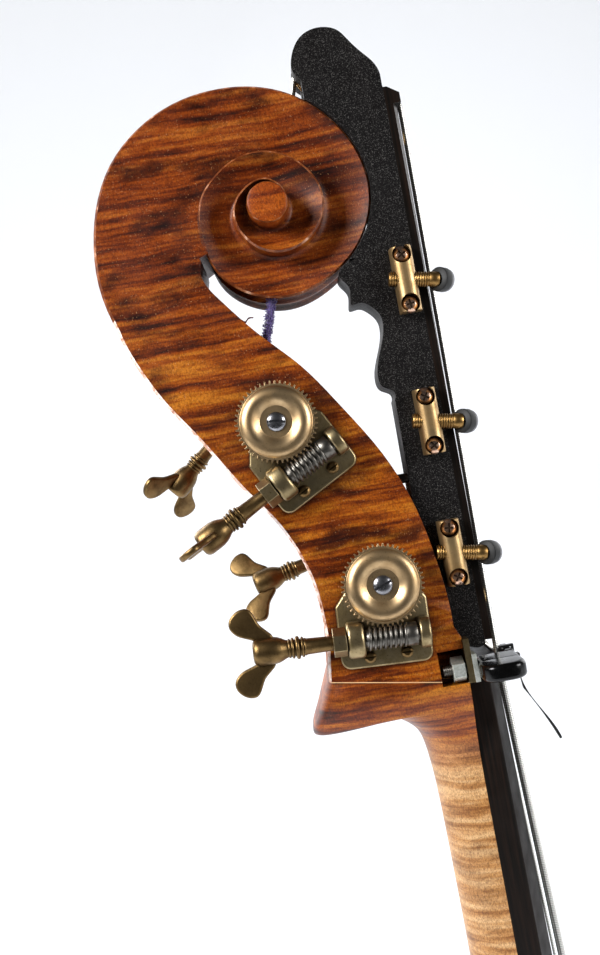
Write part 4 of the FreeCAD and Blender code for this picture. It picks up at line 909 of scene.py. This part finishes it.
# half-round bars with a pocket for a cross-headed screw near each end
def makeBrackets():
    bars = []
    screws = []
    # outlines are drawn with their front to +Y
    toFront = axes((1, 0, 0), (0, -1, 0), (0, 0, 1))
    lieDown = axes((1, 0, 0), (0, 0, 1), (0, -1, 0))
    half, straight, power = bracket["width"] / 2, bracket["straight"], 2 / bracket["squareness"]
    rise = bracket["depth"] - straight
    outline = [(-half, 0.0)]
    outline += [(math.copysign(abs(cos) ** power, cos) * half, straight + rise * sin ** power)
                for cos, sin in arc(0, 0, 1, 180, 0, 24)]
    outline.append((half, 0.0))
    floor, pocket = bracket["floor"], bracket["pocket"]
    reach, wide, top = crossScrew["reach"], crossScrew["slot"], crossScrew["head"][-1][1]
    for number, (x, z) in enumerate(capos["centres"]):
        bar = bevelled(prism(outline, -bracket["height"] / 2, bracket["height"] / 2), bracket["edge"], 2, 60)
        moved(bar, toFront)
        for offset in (-bracket["offset"], bracket["offset"]):
            hole = lathe([(0, floor), (pocket, floor), (pocket, 20), (0, 20)])
            bar = cutWith(bar, moved(hole, Matrix.Translation((0, 0, offset)) @ lieDown))
            screw = lathe(crossScrew["head"])
            for turn in (20, 110):
                slot = block((-reach, -wide, top - crossScrew["deep"]), (reach, wide, top + 1))
                lean = math.radians(turn + 25 * number + offset)
                screw = cutWith(screw, moved(slot, Matrix.Rotation(lean, 4, "Z")))
            seat = Matrix.Translation((x, bracket["back"] - floor, z + offset))
            screws.append(moved(screw, seat @ lieDown))
        bars.append(moved(bar, Matrix.Translation((x, bracket["back"], z))))
    standIn("halfRoundBrackets", bars, Matrix(), "capo_brackets", 45)
    standIn("crossHeadScrews", screws, Matrix(), "capo_bracket_screws", 35)


makeBrackets()
rodThread = threadTree("threadedRodBrass")
for number in (1, 2, 3):
    makeCapo(number, rodThread)
print("capos made")

# gate at the nut, and the pulley's pin

gate = {
    "at": (0, -32, 183),
    "stud": [(0, -12), (2.2, -12), (2.6, -11.6), (2.6, 19.6), (0, 20)],
    "thread": {"Pitch": 1.0, "Turns": 18, "Radius": 2.6, "Ridge": 0.36, "Start": -11.5},
    # lever's handle, hub and arm from above: from and to, forward and sideways, with both ends' corner radii
    "lever": [(4.4, -62, 26, -43.5, 8, 3), (5.9, -46.5, 26, -27.5, 2.7, 2.7),
        (21, -28.7, 26, -7, 2.4, 2.4)],
    "thickness": 8.5, "edge": 2.3, "bore": 3.25,
}
pin = {"at": (-15.7, -14.25, 497.8),
       "profile": [(0, -11.75), (2.1, -11.65), (2.5, -11.2), (2.5, 11.2), (2.1, 11.65), (0, 11.75)]}


# outline of a rectangle with round corners
def roundedBlock(x0, y0, x1, y1, first, last):
    return (arc(x0 + first, y0 + first, first, 180, 270, 6) + arc(x1 - first, y0 + first, first, 270, 360, 6)
            + arc(x1 - last, y1 - last, last, 0, 90, 6) + arc(x0 + last, y1 - last, last, 90, 180, 6))


# threaded stud, and the lever that turns on it
def makeGate():
    meshes = [lathe(gate["stud"], 32), runTree(threadTree("oiledWormSteel"), gate["thread"])]
    standIn("threadedStud", meshes, axes((0, 0, -1), (0, 1, 0), (1, 0, 0), gate["at"]), "gate_bolt", 50)
    half = gate["thickness"] / 2
    meshes = [bevelled(prism(roundedBlock(*sizes), -half, half), gate["edge"], 6) for sizes in gate["lever"]]
    x, y, z = gate["at"]
    bore = moved(lathe([(0, 0), (gate["bore"], 0), (gate["bore"], 40), (0, 40)], 32),
                 Matrix.Translation((0, y, 0)) @ Matrix.Rotation(math.radians(90), 4, "Y"))
    meshes[1] = cutWith(meshes[1], bore)
    standIn("roundedLever", meshes, Matrix.Translation((0, 0, z)), "gate_lever", 30)


def makePin():
    place = Matrix.Translation(pin["at"]) @ Matrix.Rotation(math.radians(-90), 4, "X")
    standIn("pulleyPin", [lathe(pin["profile"], 32)], place, "pulley_pin", 30)


makeGate()
print("gate made")
makePin()

# strings' silk

silkEnds = {
    # lower and upper end of the low string's wrapped stretch, forward and up
    "wrapped": ((-84, 340), (-61.4, 388)),
    "purple": {"Start": (-61.6, -14.5, 386.8), "End": (-69.0, -14.5, 364.9), "Count": 900.0, "Reach": 3.0,
               "Fibre": 0.09},
    "redTail": {"points": [(-82.6, 378.6), (-80.4, 380.4), (-78.3, 379.2), (-76.2, 381.0), (-73.6, 380.9)],
                "sideways": 6.0, "thick": 0.85, "rings": 24},
}


def makeFuzz():
    mesh = moved(runTree(fuzzTree("purpleSilk"), silkEnds["purple"]), Matrix.Scale(mm, 4))
    newPiece("silkFuzz", mesh, "string_low", ["purpleSilk"], instead=False)


# the low string's last stretch, wrapped in silk
def wrapString():
    piece = softenNode("string_low", 0)
    piece.data.materials.append(finishes["purpleSilk"])
    (lowX, lowZ), (highX, highZ) = silkEnds["wrapped"]
    # a ring of new edges where the silk starts
    work = bmesh.new()
    work.from_mesh(piece.data)
    everything = work.verts[:] + work.edges[:] + work.faces[:]
    bmesh.ops.bisect_plane(work, geom=everything, plane_co=Vector((0, 0, highZ)) * mm, plane_no=(0, 0, 1))
    work.to_mesh(piece.data)
    work.free()
    for face in piece.data.polygons:
        x, y, z = face.center / mm
        if lowX < x < highX and lowZ < z < highZ:
            face.material_index = 1


# frayed end of another string's silk, thrown loosely over the edge
def makeRedTail():
    tail = silkEnds["redTail"]
    loops = []
    for k, (x, z) in enumerate(alongCurve(tail["points"], tail["rings"])):
        thick = tail["thick"] * (1 - 0.6 * k / (tail["rings"] - 1))
        ring = arc(tail["sideways"], z, thick, 0, 360, 8)[:-1]
        loops.append([Vector((x, across, up)) * mm for across, up in ring])
    mesh = skin(loops)
    smoothByAngle(mesh, 60)
    newPiece("redSilkTail", mesh, "string_d", ["redSilk"], instead=False)


makeFuzz()
wrapString()
makeRedTail()
print("silk made")

# edges and round surfaces of the other pieces

softWidths = byNode({
    0: "winding string", 0.22: "gear_wheel", 0.25: "machine_plate_screws cable_tie", 0.3: "extension_prop",
    0.4: "roller string_pulley extension_body extension_screws gate_washer", 0.6: "extension_nut fingerboard",
    0.5: "extension_fingerboard gate_plate gate_nut", 0.7: "worm_lock_nuts nut",
})
for node in sorted(set(frame["nodes"]) - shown):
    softenNode(node, lookUp(softWidths, node))
print("edges softened")

# floor, light and camera

roomLook = {
    "floorDrop": 90, "wallDistance": 1500, "bend": 500,
    "paint": {"Roughness": 0.9, "Base Color": "#d2d4d8", "Emission Color": "#f2f4f6",
              "Emission Strength": 0.36},
}


# pale floor that curves up into a wall behind the head
def makeRoom():
    low, wall, radius = -roomLook["floorDrop"] * mm, roomLook["wallDistance"] * mm, roomLook["bend"] * mm
    profile = [(-0.45, low)] + arc(wall - radius, low + radius, radius, -90, 0, 12) + [(wall, 3.5)]
    count = len(profile)
    faces = [(count + i, count + i + 1, i + 1, i) for i in range(count - 1)]
    mesh = bpy.data.meshes.new("room")
    mesh.from_pydata([(x, y, z) for x in (-4, 4) for y, z in profile], [], faces)
    mesh.shade_smooth()
    startMaterial("paleRoom", roomLook["paint"])
    mesh.materials.append(finishes["paleRoom"])
    room = looseObject("room", mesh)


lights = [
    {"name": "key", "at": (-1.25, -0.85, 1.1), "size": 0.7, "watts": 44},
    {"name": "fill", "at": (1.3, -0.75, 0.5), "size": 0.7, "watts": 19},
    {"name": "rear", "at": (-0.9, 0.75, 0.9), "size": 0.8, "watts": 14},
    {"name": "right", "at": (0.9, 0.7, 0.5), "size": 0.8, "watts": 5},
]
aim = Vector((-0.06, 0, 0.27))


def makeLights():
    for look in lights:
        light = bpy.data.lights.new(look["name"], "AREA")
        light.size = look["size"]
        light.energy = look["watts"]
        lamp = looseObject(look["name"], light)
        lamp.location = look["at"]
        lamp.rotation_euler = (aim - lamp.location).to_track_quat("-Z", "Y").to_euler()
    world = bpy.data.worlds.new("studio")
    world.use_nodes = True
    plug(world.node_tree.nodes["Background"], {"Color": "#f2f5fa", "Strength": 0.05})
    bpy.context.scene.world = world


cameraLook = {"at": (-64.65, -584, 292), "roll": 10.5, "lens": 27.64, "frameHeight": 24}


def makeCamera():
    roll = math.radians(cameraLook["roll"])
    right = Vector((math.cos(roll), 0, -math.sin(roll)))
    up = Vector((math.sin(roll), 0, math.cos(roll)))
    data = bpy.data.cameras.new("camera")
    data.sensor_fit = "VERTICAL"
    data.sensor_height = cameraLook["frameHeight"]
    data.lens = cameraLook["lens"]
    data.clip_start = 0.01
    camera = looseObject("camera", data)
    camera.matrix_world = axes(right, up, right.cross(up), Vector(cameraLook["at"]) * mm)
    bpy.context.scene.camera = camera


makeRoom()
makeLights()
makeCamera()
bpy.context.scene.view_settings.view_transform = "Standard"
print("room, light and camera set")
